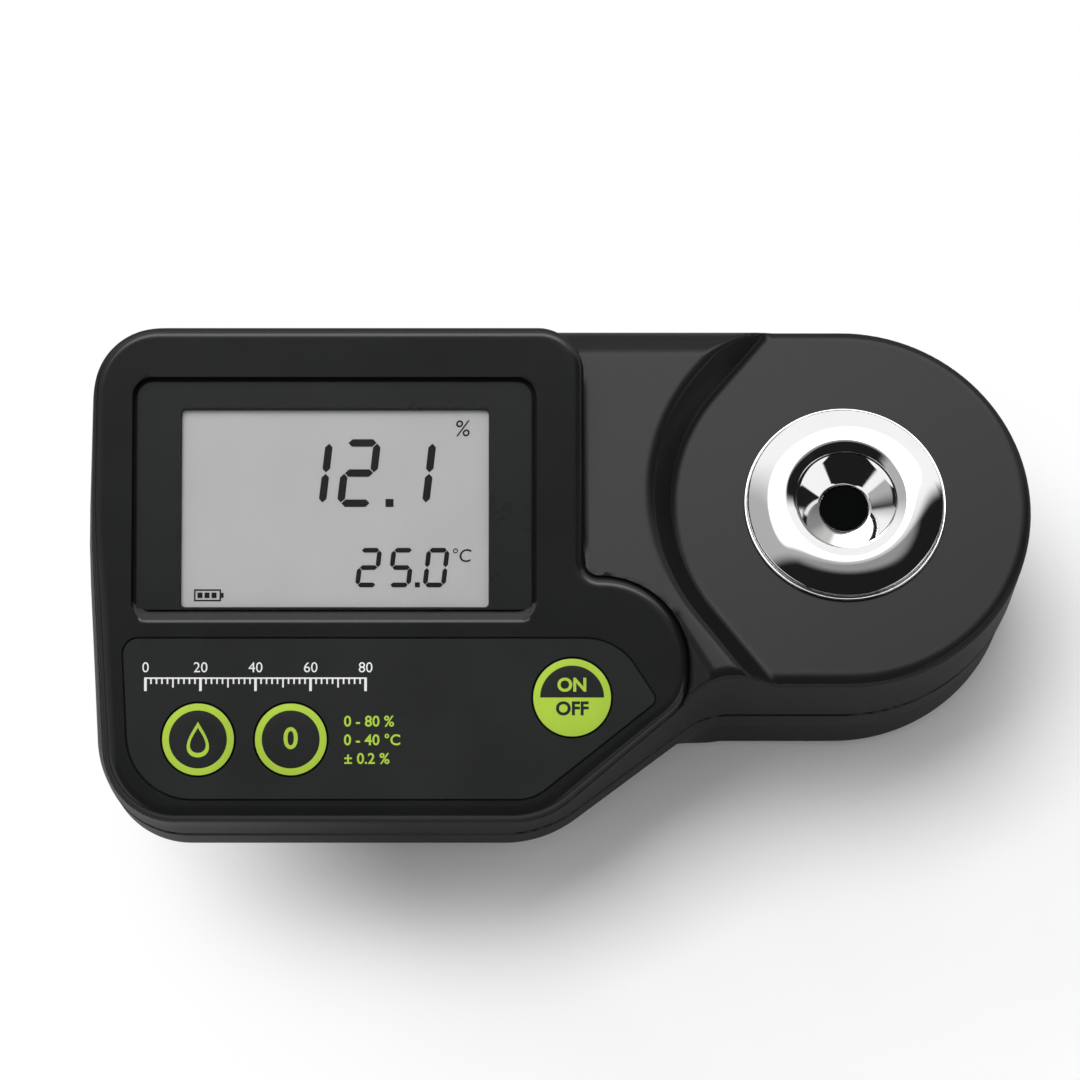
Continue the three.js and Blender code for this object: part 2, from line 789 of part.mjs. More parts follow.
function upperCase() {
  const core = upperBody(wall / 2);
  let solid = upperBody(0).subtract(upperBody(wall));
  for (const [x, y] of caseScrewPlaces) {
    const boss = toSolid(cylinder(screwBossRadius, upperBottom, overallHeight, x, y, smallSteps));
    solid = solid.add(boss.intersect(core));
  }
  for (const [x, y] of boardScrewPlaces) {
    const boss = cylinder(boardBossRadius, boardTop + fitGap, plateTop - fitGap, x, y, smallSteps);
    solid = solid.add(toSolid(inPanel(boss)));
  }
  for (const [x, y] of caseScrewPlaces) {
    const depth = upperBottom + screwBite + fitGap;
    solid = solid.subtract(toSolid(cylinder(screwRadius + fitGap, 0, depth, x, y, smallSteps)));
  }
  for (const [x, y] of boardScrewPlaces) {
    const depth = boardTop + boardScrewLength - boardThickness + fitGap;
    const hole = cylinder(boardScrewRadius + fitGap, boardBottom, depth, x, y, smallSteps);
    solid = solid.subtract(toSolid(inPanel(hole)));
  }
  const glassHole = box(glassLeft - fitGap, glassRight + fitGap, glassFront - fitGap,
    glassRear + fitGap, boardTop, 0);
  solid = solid.subtract(toSolid(inPanel(glassHole)));
  for (const key of keyPlaces) {
    const hole = cylinder(key.radius + keyFlange + fitGap, boardTop, 0, key.x, key.y);
    solid = solid.subtract(toSolid(inPanel(hole)));
  }
  const neck = cylinder(neckRadius + fitGap, seamHeight, deckHeight, headX, headY);
  const rebateRadius = neckRadius + fitGap + sealWidth + fitGap;
  const rebateFloor = discHeight - sealHeight - fitGap;
  const rebate = cylinder(rebateRadius, rebateFloor, deckHeight, headX, headY);
  return solid.subtract(toSolid(neck)).subtract(toSolid(rebate));
}

// The lower case is widest at the seam; under the left block it draws in towards the feet
function lowerBody(inset) {
  const under = (s) => {
    const share = THREE.MathUtils.smoothstep(headX - s.x, undercutStartSetback, undercutFullSetback);
    return headUndercut + (undercut - headUndercut) * share;
  };
  const bottom = footHeight + inset;
  const rings = [];
  const edge = inset > 0 ? [{ inset: 0, drop: 0 }] : quarterRound(bottomFillet).reverse();
  for (const e of edge) {
    rings.push(flatRing(grown(seamOutline, (s) => -inset - under(s) - e.inset), bottom + e.drop));
  }
  rings.push(flatRing(grown(seamOutline, -inset - bandInset), undercutTop));
  rings.push(flatRing(grown(seamOutline, -inset), inset > 0 ? lowerTop + overrun : lowerTop));
  return toSolid(loft(rings));
}

const bayDepthTop = bayTop + bayCeiling;
const coverBottom = footHeight + coverRecess;
const coverTop = coverBottom + coverThickness;
const lipBottom = coverTop + fitGap;
const lipTop = lipBottom + lipThickness;
const lugBottom = lipTop + slideGap;
const lugTop = lugBottom + lugHeight;
const lugRadius = coverRimRadius + lugReach;

// A sector of a ring, as each bayonet lug and the notch that it drops through
function ringSector(inner, outer, middleAngle, spanAngle, bottom, top) {
  const from = THREE.MathUtils.degToRad(middleAngle - spanAngle / 2);
  const to = THREE.MathUtils.degToRad(middleAngle + spanAngle / 2);
  const shape = new THREE.Shape();
  shape.absarc(0, 0, outer, from, to, false);
  shape.absarc(0, 0, inner, to, from, true);
  shape.closePath();
  const options = { depth: top - bottom, bevelEnabled: false, curveSegments: 4 };
  return new THREE.ExtrudeGeometry(shape, options).translate(bayX, bayY, bottom);
}

function lowerCase() {
  const core = lowerBody(wall / 2);
  const bayOuter = bayRadius + bayWall;
  let solid = lowerBody(0).subtract(lowerBody(wall));
  solid = solid.add(toSolid(cylinder(bayOuter, coverBottom, bayDepthTop, bayX, bayY)));
  for (const [x, y] of caseScrewPlaces) {
    const boss = toSolid(cylinder(screwBossRadius, footHeight, lowerTop, x, y, smallSteps));
    solid = solid.add(boss.intersect(core));
  }
  for (const [x, y] of footPlaces) {
    const seat = footHeight + footSeat + fitGap;
    const pad = cylinder(footRadius + wall, footHeight, seat + wall, x, y, smallSteps * 3 / 2);
    solid = solid.add(toSolid(pad).intersect(core));
    solid = solid.subtract(toSolid(cylinder(footRadius + fitGap, 0, seat, x, y, smallSteps * 3 / 2)));
  }
  solid = solid.subtract(toSolid(cylinder(bayRadius, lipTop, bayTop, bayX, bayY)));
  solid = solid.subtract(toSolid(cylinder(coverRadius + slideGap, 0, lipBottom, bayX, bayY, 36)));
  const lipHole = cylinder(coverRimRadius + slideGap, 0, lipTop + fitGap, bayX, bayY);
  solid = solid.subtract(toSolid(lipHole));
  for (let i = 0; i < lugCount; i++) {
    const angle = i * 360 / lugCount + coverTurn;
    const notch = ringSector(coverRimRadius - wall, lugRadius + slideGap, angle,
      lugAngle * 6 / 5, coverBottom, lipTop + fitGap);
    solid = solid.subtract(toSolid(notch));
  }
  const leadX = bayX + batteryShiftX + batteryLength / 2 + snapThickness / 2;
  solid = solid.subtract(toSolid(
    cylinder(leadHoleRadius, bayTop - fitGap, bayDepthTop + fitGap, leadX, bayY, smallSteps)));
  for (const [x, y] of caseScrewPlaces) {
    const shaft = cylinder(screwRadius + fitGap, 0, overallHeight, x, y, smallSteps);
    const sink = cylinder(screwHead + fitGap, 0, footHeight + screwSink, x, y, smallSteps);
    solid = solid.subtract(toSolid(shaft)).subtract(toSolid(sink));
  }
  return solid.subtract(toSolid(rimGroove()));
}

// The ledge along the inside of the lower case's rim, where the gasket lies
function rimGroove() {
  const floor = lowerTop - gasketHeight - fitGap;
  const ledge = grown(seamOutline, -gasketInset + fitGap);
  return prism(ledge, floor, lowerTop + overrun);
}

function caseGasket() {
  const outer = grown(seamOutline, -gasketInset);
  const inner = grown(seamOutline, -gasketInset - gasketWidth);
  const bottom = lowerTop - gasketHeight;
  return toSolid(prism(outer, bottom, lowerTop))
    .subtract(toSolid(prism(inner, bottom - overrun, lowerTop + overrun)));
}

// The front panel, in its own frame, with the face at height 0
function frontPanel() {
  const rings = [flatRing(panelOutline, -panelThickness)];
  for (const e of quarterRound(edgeFillet, 4)) {
    rings.push(flatRing(grown(panelOutline, -e.inset), -e.drop));
  }
  let solid = toSolid(loft(rings));
  const rampEnd = windowFront + windowRampRun;
  const opening = outline([
    [windowLeft, rampEnd, windowGroove, 1],
    [windowRight, rampEnd, windowGroove, 1],
    [windowRight, windowRear, windowCorner, 4],
    [windowLeft, windowRear, windowCorner, 4],
  ]);
  solid = solid.subtract(toSolid(prism(opening, -panelThickness - overrun, overrun)));
  const ramp = new THREE.Shape();
  ramp.moveTo(windowFront, 0);
  ramp.lineTo(rampEnd + fitGap, -windowRampDrop * (windowRampRun + fitGap) / windowRampRun);
  ramp.lineTo(rampEnd + fitGap, overrun);
  ramp.lineTo(windowFront, overrun);
  ramp.closePath();
  const rampLength = windowRight - windowLeft;
  const wedge = new THREE.ExtrudeGeometry(ramp, { depth: rampLength, bevelEnabled: false });
  wedge.rotateY(Math.PI / 2).rotateX(Math.PI / 2).translate(windowLeft, 0, 0);
  const rampSolid = toSolid(wedge).intersect(toSolid(prism(windowOutline, -overrun, overrun)));
  solid = solid.subtract(rampSolid);
  const recessFloor = -overlayDrop - overlayThickness - fitGap;
  solid = solid.subtract(toSolid(prism(grown(overlayOutline, overlayGroove), recessFloor, overrun)));
  for (const key of keyPlaces) {
    const hole = cylinder(key.radius + fitGap, -overrun, overrun, key.x, key.y);
    solid = solid.subtract(toSolid(hole));
  }
  return solid;
}

function displayWindow() {
  const samples = outline([
    [windowLeft + windowGroove, windowFront + windowRampRun + fitGap, windowGroove, 1],
    [windowRight - windowGroove, windowFront + windowRampRun + fitGap, windowGroove, 1],
    [windowRight - windowGroove, windowRear - windowGroove, windowCorner - windowGroove, 4],
    [windowLeft + windowGroove, windowRear - windowGroove, windowCorner - windowGroove, 4],
  ]);
  return prism(samples, -windowTopDrop - windowThickness, -windowTopDrop);
}

function keypadOverlay() {
  let solid = toSolid(prism(overlayOutline, -overlayDrop - overlayThickness, -overlayDrop));
  for (const key of keyPlaces) {
    const hole = cylinder(key.radius + fitGap, -overrun, overrun, key.x, key.y);
    solid = solid.subtract(toSolid(hole));
  }
  return solid;
}

// A key: crowned cap, retaining flange under the panel and a stem over the switch
const switchTop = boardTop + fitGap + switchHeight + keyProud * 4;

function keyCap({ radius }) {
  const flangeTop = -panelThickness - fitGap;
  const flangeBottom = flangeTop - keyFlangeThickness;
  const stemBottom = switchTop + keyTravel + keySpare;
  const crownSteps = 3;
  const crown = [];
  for (let i = 0; i <= crownSteps; i++) {
    const share = 1 - i / crownSteps;
    crown.push([radius * share, keyProud - keyCrown + keyCrown * (1 - share ** 4)]);
  }
  return lathe([
    [0, stemBottom],
    [keyStemRadius, stemBottom],
    [keyStemRadius, flangeBottom],
    [radius + keyFlange, flangeBottom],
    [radius + keyFlange, flangeTop],
    [radius, flangeTop],
    ...crown,
  ], keySteps);
}

function tactSwitch(key) {
  const bodyBottom = boardTop + fitGap;
  const body = centredBox(switchSide, switchSide, bodyBottom, bodyBottom + switchHeight, key.x, key.y);
  const button = cylinder(switchButtonRadius, bodyBottom + switchHeight - fitGap, switchTop,
    key.x, key.y, smallSteps);
  return toSolid(body).add(toSolid(button));
}

const boardOutline = outline([
  [boardLeft, boardCutY, boardCorner, 1],
  [boardLeft + boardCutWidth, boardFront, boardCorner, 1],
  [panelDiagonalX - boardDiagonalMargin, boardFront, boardCorner, 1],
  [boardLobeRight, lobeTip - boardDiagonalDrop, boardCorner, 1],
  [boardLobeRight, boardLobeRear, boardCorner, 1],
  [boardRight, boardLobeRear, boardCorner, 1],
  [boardRight, boardRear, boardCorner, 1],
  [boardLeft, boardRear, boardCorner, 1],
]);

function mainBoard() {
  let solid = toSolid(prism(boardOutline, boardBottom, boardTop));
  for (const [x, y] of boardScrewPlaces) {
    const hole = cylinder(boardScrewRadius + fitGap, boardBottom - overrun, overrun, x, y, smallSteps);
    solid = solid.subtract(toSolid(hole));
  }
  return solid;
}

function panScrew(radius, headRadiusOf, headHeight, length) {
  return lathe([
    [0, -headHeight],
    [headRadiusOf * 3 / 4, -headHeight],
    [headRadiusOf, -headHeight / 2],
    [headRadiusOf, 0],
    [radius, 0],
    [radius, length - radius],
    [0, length],
  ], smallSteps);
}

function lcdHolder() {
  const top = plateBottom - fitGap;
  const bottom = boardTop + fitGap;
  const outer = box(glassLeft - holderMargin, glassRight + holderMargin,
    glassFront - holderMargin, glassRear + holderMargin, bottom, top);
  const inner = box(glassLeft + holderRim, glassRight - holderRim,
    glassFront + holderRim, glassRear - holderRim, bottom - overrun, top + overrun);
  return toSolid(outer).subtract(toSolid(inner));
}

function contactStrip(y) {
  const x0 = glassLeft + holderRim + stripEndMargin;
  const x1 = glassRight - holderRim - stripEndMargin;
  return box(x0, x1, y - stripWidth / 2, y + stripWidth / 2,
    boardTop + fitGap, -glassTopDrop - glassThickness - fitGap);
}

// Sample well: a turned steel ring with a domed face and a funnel down to the prism
const crestTop = discHeight + ringCrestHeight;
const ringBase = discHeight + fitGap;
const prismTop = discHeight - prismDrop;
const ringFloor = discHeight - ringFloorDepth;
const neckBottom = discHeight - neckLength;

function wellRing() {
  const domeStart = [ringRadius, ringBase + ringLip];
  const domeEnd = [ringCrestRadius, crestTop];
  const dome = [];
  const domeSteps = 6;
  for (let i = 0; i <= domeSteps; i++) {
    const t = i / domeSteps;
    const rise = Math.sin(t * Math.PI / 2) ** (2 * ringDomeShare);
    dome.push([
      THREE.MathUtils.lerp(domeStart[0], domeEnd[0], t),
      THREE.MathUtils.lerp(domeStart[1], domeEnd[1], rise),
    ]);
  }
  const crest = arcProfile(ringCrestRadius, crestTop - ringCrestRound, ringCrestRound, 90, 180, 3);
  const mouth = prismRadius + fitGap;
  return lathe([
    [neckRadius, neckBottom],
    [neckRadius, ringBase],
    [ringRadius, ringBase],
    ...dome,
    ...crest.slice(1),
    [funnelThroatRadius, crestTop - funnelThroatDepth],
    [mouth, crestTop - funnelMouthDepth],
    [mouth, ringFloor],
    [neckRadius - neckWall, ringFloor],
    [neckRadius - neckWall, neckBottom],
  ], 36);
}

function opticsScrewPoints() {
  const places = [];
  for (let i = 0; i < opticsScrews; i++) {
    const angle = THREE.MathUtils.degToRad(opticsScrewStart + i * 360 / opticsScrews);
    places.push([opticsScrewCircle * Math.cos(angle), opticsScrewCircle * Math.sin(angle)]);
  }
  return places;
}

const opticsTop = ringFloor - fitGap;
const opticsFlangeBottom = opticsTop - opticsFlangeHeight;
const opticsBottom = opticsTop - opticsBodyLength;
const opticsBore = prismFlangeRadius + fitGap;

function drilledWellRing() {
  let solid = toSolid(wellRing());
  for (const [x, y] of opticsScrewPoints()) {
    const top = ringFloor + opticsScrewBite + fitGap;
    const hole = cylinder(opticsScrewRadius + fitGap, neckBottom, top, x, y, smallSteps);
    solid = solid.subtract(toSolid(hole));
  }
  return solid;
}

function wellSeal() {
  const inner = neckRadius + fitGap;
  return lathe([
    [inner, discHeight - sealHeight],
    [inner + sealWidth, discHeight - sealHeight],
    [inner + sealWidth, discHeight],
    [inner, discHeight],
  ], keySteps);
}

function wellNut() {
  const inner = neckRadius + fitGap;
  const top = discHeight - wall - fitGap;
  const bottom = top - nutHeight;
  let solid = toSolid(lathe([
    [inner, bottom],
    [inner + nutWidth, bottom],
    [inner + nutWidth, top],
    [inner, top],
  ], keySteps));
  for (let i = 0; i < nutSlots; i++) {
    const slot = centredBox(nutSlotWidth, overrun, bottom - overrun, bottom + nutSlotDepth,
      0, inner + nutWidth);
    slot.rotateZ(i * 2 * Math.PI / nutSlots);
    solid = solid.subtract(toSolid(slot));
  }
  return solid;
}

function samplePrism() {
  const shoulder = prismTop - prismLength;
  return lathe([
    [0, shoulder - prismFlangeHeight],
    [prismFlangeRadius, shoulder - prismFlangeHeight],
    [prismFlangeRadius, shoulder],
    [prismRadius, shoulder],
    [prismRadius, prismTop],
    [0, prismTop],
  ], keySteps);
}

function opticsHousing() {
  const shoulder = prismTop - prismLength + fitGap;
  const flangeRadius = neckRadius - neckWall - fitGap;
  let solid = toSolid(lathe([
    [opticsBore, opticsBottom],
    [opticsBodyRadius, opticsBottom],
    [opticsBodyRadius, opticsFlangeBottom],
    [flangeRadius, opticsFlangeBottom],
    [flangeRadius, opticsTop],
    [prismRadius + fitGap, opticsTop],
    [prismRadius + fitGap, shoulder],
    [opticsBore, shoulder],
  ], keySteps));
  for (const [x, y] of opticsScrewPoints()) {
    const hole = cylinder(opticsScrewRadius + fitGap, opticsBottom, deckHeight, x, y, smallSteps);
    solid = solid.subtract(toSolid(hole));
  }
  const [px, py] = probePlace();
  const hole = cylinder(probeRadius + fitGap, opticsFlangeBottom - fitGap, deckHeight, px, py, smallSteps);
  return solid.subtract(toSolid(hole));
}

function probePlace() {
  const angle = THREE.MathUtils.degToRad(probeAngle);
  return [opticsScrewCircle * Math.cos(angle), opticsScrewCircle * Math.sin(angle)];
}

function lensBarrel() {
  const bottom = opticsBottom + barrelBottom;
  return lathe([
    [barrelBore, bottom],
    [prismFlangeRadius, bottom],
    [prismFlangeRadius, bottom + barrelHeight],
    [barrelBore, bottom + barrelHeight],
  ], keySteps);
}

function lens() {
  const middle = opticsBottom + barrelBottom + barrelHeight / 2;
  const edge = barrelBore - fitGap;
  return lathe([
    [0, middle - lensThickness / 2],
    [edge / 2, middle - lensThickness * 2 / 5],
    [edge, middle - lensEdge / 2],
    [edge, middle + lensEdge / 2],
    [edge / 2, middle + lensThickness * 2 / 5],
    [0, middle + lensThickness / 2],
  ], keySteps);
}

const sensorBoardTop = opticsBottom - fitGap;
const sensorBoardBottom = sensorBoardTop - sensorBoardThickness;

// A flat ribbon in the XZ plane, from the sensor board up to the socket on the main board
function ribbonCable() {
  const end = panelPoint(socketX, socketY, boardBottom - fitGap * 2 - socketHeight);
  const start = new THREE.Vector3(headX - opticsBodyRadius - fitGap, end.y,
    (sensorBoardTop + sensorBoardBottom) / 2);
  const bend = socketWidth;
  const runHeight = bayDepthTop + socketHeight;
  const curve = new THREE.CatmullRomCurve3([
    start,
    new THREE.Vector3(start.x - bend / 2, end.y, start.z),
    new THREE.Vector3(start.x - bend * 3 / 2, end.y, runHeight),
    new THREE.Vector3(end.x + bend, end.y, runHeight),
    new THREE.Vector3(end.x + bend / 5, end.y, runHeight + bend / 3),
    new THREE.Vector3(end.x, end.y, end.z - bend / 2),
    new THREE.Vector3(end.x, end.y, end.z - socketHeight / 2),
  ]);
  const shape = new THREE.Shape();
  const halfWidth = socketWidth / 3;
  shape.moveTo(-halfWidth, -fitGap / 2);
  shape.lineTo(halfWidth, -fitGap / 2);
  shape.lineTo(halfWidth, fitGap / 2);
  shape.lineTo(-halfWidth, fitGap / 2);
  shape.closePath();
  return new THREE.ExtrudeGeometry(shape, { extrudePath: curve, steps: 16 });
}

function ribbonSocket() {
  const top = boardBottom - fitGap;
  return centredBox(socketDepth, socketWidth, top - socketHeight, top, socketX, socketY);
}

// Battery, its snap and leads
const batteryBottom = lugTop + fitGap;
const batteryX = bayX + batteryShiftX;

function battery() {
  const samples = outline([
    [-batteryWidth / 2, -batteryHeight / 2, batteryCorner, 3],
    [batteryWidth / 2, -batteryHeight / 2, batteryCorner, 3],
    [batteryWidth / 2, batteryHeight / 2, batteryCorner, 3],
    [-batteryWidth / 2, batteryHeight / 2, batteryCorner, 3],
  ]);
  const cell = prism(samples, -batteryLength / 2, batteryLength / 2);
  cell.rotateX(Math.PI / 2).rotateZ(Math.PI / 2);
  return cell.translate(batteryX, bayY, batteryBottom + batteryHeight / 2);
}

const snapX = batteryX + batteryLength / 2 + fitGap;

function batterySnap() {
  const middle = batteryBottom + batteryHeight / 2;
  return box(snapX, snapX + snapThickness, bayY - snapWidth / 2, bayY + snapWidth / 2,
    middle - snapHeight / 2, middle + snapHeight / 2);
}

function batteryLead(side) {
  const x = snapX + snapThickness / 2;
  const y = bayY + side * leadSpacing / 2;
  const bottom = batteryBottom + batteryHeight / 2 + snapHeight / 2 + fitGap;
  const turned = panelPoint(x + side * leadSpread, (y + side * leadSpread) / Math.cos(tilt),
    boardBottom - fitGap - leadRadius);
  const rise = turned.z - bottom;
  const curve = new THREE.CatmullRomCurve3([
    new THREE.Vector3(x, y, bottom),
    new THREE.Vector3(x, y, bottom + rise / 4),
    new THREE.Vector3((x + turned.x) / 2, (y + turned.y) / 2, bottom + rise * 3 / 5),
    new THREE.Vector3(turned.x, turned.y, turned.z - rise / 5),
    turned,
  ]);
  const shape = new THREE.Shape();
  shape.absarc(0, 0, leadRadius, 0, Math.PI * 2, false);
  const options = { extrudePath: curve, steps: 10, curveSegments: 4 };
  return new THREE.ExtrudeGeometry(shape, options);
}

// The cover turns on its centre; its lugs lie over the lip of the opening when it is locked
function batteryCover() {
  const plate = toSolid(cylinder(coverRadius, coverBottom, coverTop, bayX, bayY, 36));
  const rimInner = coverRimRadius - coverRimWidth;
  const rim = toSolid(cylinder(coverRimRadius, coverTop - fitGap, lugTop, bayX, bayY))
    .subtract(toSolid(cylinder(rimInner, coverTop - overrun, lugTop + overrun, bayX, bayY)));
  let solid = plate.add(rim);
  for (let i = 0; i < lugCount; i++) {
    const lug = ringSector(coverRimRadius - slideGap, lugRadius, i * 360 / lugCount,
      lugAngle, lugBottom, lugTop);
    solid = solid.add(toSolid(lug));
  }
  const slot = centredBox(coinSlotLength, coinSlotWidth, coverBottom - overrun,
    coverBottom + coinSlotDepth, bayX, bayY);
  solid = solid.subtract(toSolid(slot));
  for (const side of [-1, 1]) {
    for (let i = 0; i < gripRibs; i++) {
      const y = side * gripOffset + (i - (gripRibs - 1) / 2) * gripRibPitch / 2;
      const groove = centredBox(gripRibLength, gripRibWidth / 2, coverBottom - overrun,
        coverBottom + gripRibDepth, bayX, bayY + y);
      solid = solid.subtract(toSolid(groove));
    }
  }
  return solid;
}

function rubberFoot() {
  const top = footHeight + footSeat;
  return lathe([
    [0, 0],
    [footRadius - footRound, 0],
    [footRadius, footRound],
    [footRadius, top],
    [0, top],
  ], smallSteps * 3 / 2);
}

// Assembly
const refractometer = new THREE.Group();
refractometer.add(panelGroup);

function place(name, shape, material, parent = refractometer) {
  const geometry = shape.isBufferGeometry ? toGeometry(toSolid(shape)) : toGeometry(shape);
  const mesh = new THREE.Mesh(geometry, material);
  mesh.name = name;
  parent.add(mesh);
  return mesh;
}

place('upper_case', upperCase(), caseGrey);
place('lower_case', lowerCase(), caseGrey);
place('case_gasket', caseGasket(), rubberBlack);

place('front_panel', frontPanel(), panelBlack, panelGroup);
place('display_window', displayWindow(), windowClear, panelGroup);
place('keypad_overlay', keypadOverlay(), overlayBlack, panelGroup);
const glassTop = -glassTopDrop;
place('lcd_glass', box(glassLeft, glassRight, glassFront, glassRear, glassTop - glassThickness, glassTop),
  glassGrey, panelGroup);
place('lcd_holder', lcdHolder(), innerPlastic, panelGroup);
const stripInset = holderRim + stripWidth / 2 + fitGap;
place('contact_strip_rear', contactStrip(glassRear - stripInset), rubberBlack, panelGroup);
place('contact_strip_front', contactStrip(glassFront + stripInset), rubberBlack, panelGroup);

for (const key of keyPlaces) {
  const cap = place(`${key.name}_key`, keyCap(key), keyBlack, panelGroup);
  cap.position.set(key.x, key.y, 0);
  place(`${key.name}_switch`, tactSwitch(key), chipBlack, panelGroup);
}

place('main_board', mainBoard(), boardGreen, panelGroup);
place('processor', centredBox(chipSide, chipSide, boardBottom - fitGap - chipHeight, boardBottom - fitGap,
  zeroKeyX + chipMarginX, keyRow + chipMarginY), chipBlack, panelGroup);
place('ribbon_socket', ribbonSocket(), ribbonGrey, panelGroup);
boardScrewPlaces.forEach(([x, y], i) => {
  const screw = panScrew(boardScrewRadius, boardScrewHead, boardScrewHeadHeight, boardScrewLength);
  const mesh = place(`board_screw_${i + 1}`, screw, screwSteel, panelGroup);
  mesh.position.set(x, y, boardBottom - fitGap);
});

const wellGroup = new THREE.Group();
wellGroup.position.set(headX, headY, 0);
refractometer.add(wellGroup);
place('well_ring', drilledWellRing(), steel, wellGroup);
place('well_seal', wellSeal(), rubberBlack, wellGroup);
place('well_nut', wellNut(), brassTone, wellGroup);
place('sample_prism', samplePrism(), opticGlass, wellGroup);
place('optics_housing', opticsHousing(), innerPlastic, wellGroup);
place('lens_barrel', lensBarrel(), innerPlastic, wellGroup);
place('lens', lens(), opticGlass, wellGroup);
place('sensor_board', cylinder(opticsBodyRadius, sensorBoardBottom, sensorBoardTop, 0, 0, 24),
  boardGreen, wellGroup);
place('image_sensor', centredBox(sensorSide, sensorSide, opticsBottom, opticsBottom + sensorHeight),
  chipBlack, wellGroup);
place('led', cylinder(lampRadius, opticsBottom, opticsBottom + lampHeight, lampX, 0, smallSteps),
  windowClear, wellGroup);
const [probeX, probeY] = probePlace();
place('temperature_probe', cylinder(probeRadius, opticsTop - probeLength, opticsTop, probeX, probeY,
  smallSteps), steel, wellGroup);
opticsScrewPoints().forEach(([x, y], i) => {
  const length = opticsFlangeHeight + fitGap * 2 + opticsScrewBite;
  const screw = panScrew(opticsScrewRadius, opticsScrewHead, opticsScrewHeadHeight, length);
  const mesh = place(`optics_screw_${i + 1}`, screw, screwSteel, wellGroup);
  mesh.position.set(x, y, opticsFlangeBottom - fitGap);
});

place('ribbon_cable', ribbonCable(), ribbonGrey);
place('battery', battery(), batteryShell);
place('battery_snap', batterySnap(), rubberBlack);
place('red_lead', batteryLead(1), leadRed);
place('black_lead', batteryLead(-1), leadBlack);
place('battery_cover', batteryCover(), caseGrey);

caseScrewPlaces.forEach(([x, y], i) => {
  const headTop = footHeight + screwSink - fitGap;
  const length = upperBottom + screwBite - headTop;
  const screw = panScrew(screwRadius, screwHead, screwHeadHeight, length);
  const mesh = place(`case_screw_${i + 1}`, screw, screwSteel);
  mesh.position.set(x, y, headTop);
});

footPlaces.forEach(([x, y], i) => {
  const mesh = place(`foot_${i + 1}`, rubberFoot(), rubberBlack);
  mesh.position.set(x, y, 0);
});

export default refractometer;
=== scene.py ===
import json
import math

import bmesh
import bpy
import numpy as np
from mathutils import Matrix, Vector
from mathutils.geometry import tessellate_polygon


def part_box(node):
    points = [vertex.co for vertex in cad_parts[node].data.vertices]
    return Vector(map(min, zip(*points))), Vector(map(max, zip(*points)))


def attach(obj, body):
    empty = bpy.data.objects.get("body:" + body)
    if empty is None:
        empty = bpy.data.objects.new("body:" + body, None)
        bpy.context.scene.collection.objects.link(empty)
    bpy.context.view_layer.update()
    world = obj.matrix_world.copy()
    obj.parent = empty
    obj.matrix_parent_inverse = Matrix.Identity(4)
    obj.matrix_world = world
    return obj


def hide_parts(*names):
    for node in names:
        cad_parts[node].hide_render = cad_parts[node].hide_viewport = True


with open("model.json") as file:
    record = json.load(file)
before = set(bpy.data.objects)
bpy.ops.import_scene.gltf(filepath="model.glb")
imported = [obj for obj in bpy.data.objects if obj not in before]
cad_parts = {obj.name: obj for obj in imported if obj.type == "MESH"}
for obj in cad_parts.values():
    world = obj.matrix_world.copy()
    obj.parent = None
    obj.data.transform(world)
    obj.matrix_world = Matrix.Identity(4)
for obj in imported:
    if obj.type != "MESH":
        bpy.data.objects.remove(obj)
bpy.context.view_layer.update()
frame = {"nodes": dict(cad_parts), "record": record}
nodes = frame["nodes"]

# All lengths here are in millimetres, and go to metres when a mesh is made.
toMetres = 0.001
tiny = 1e-12

# Sizes that several pieces share. The panel lies tilted on the case, and its own coordinates are
# x, up along its slope, and h above its face.
head = {"x": 57.8, "y": 12.5, "radius": 38.2, "top": 48.0}
seam = {"low": 25.5, "high": 26.5}
shell = {"wall": 2.5, "deck": 54.0, "plate": -2.8}
panelRear = {"height": 65, "reach": 42.6, "thick": 2}
tilt = math.radians(14)
panelZ = (panelRear["height"] - panelRear["reach"] * math.sin(tilt)
          + panelRear["thick"] * math.cos(tilt))


class Graph:
    def __init__(self, tree):
        self.tree = tree

    # Any node: its type, its settings, and the values or links of its sockets.
    def node(self, kind, settings=None, inputs=None, output=0):
        made = self.tree.nodes.new(kind)
        for name, value in (settings or {}).items():
            setattr(made, name, value)
        self.fill(made, inputs or {})
        return Flow(self, made.outputs[output])

    def fill(self, made, inputs):
        for name, value in inputs.items():
            if isinstance(value, Flow):
                self.tree.links.new(value.socket, made.inputs[name])
            else:
                made.inputs[name].default_value = value

    def show(self, shader):
        self.fill(self.tree.nodes["Material Output"], {"Surface": shader})


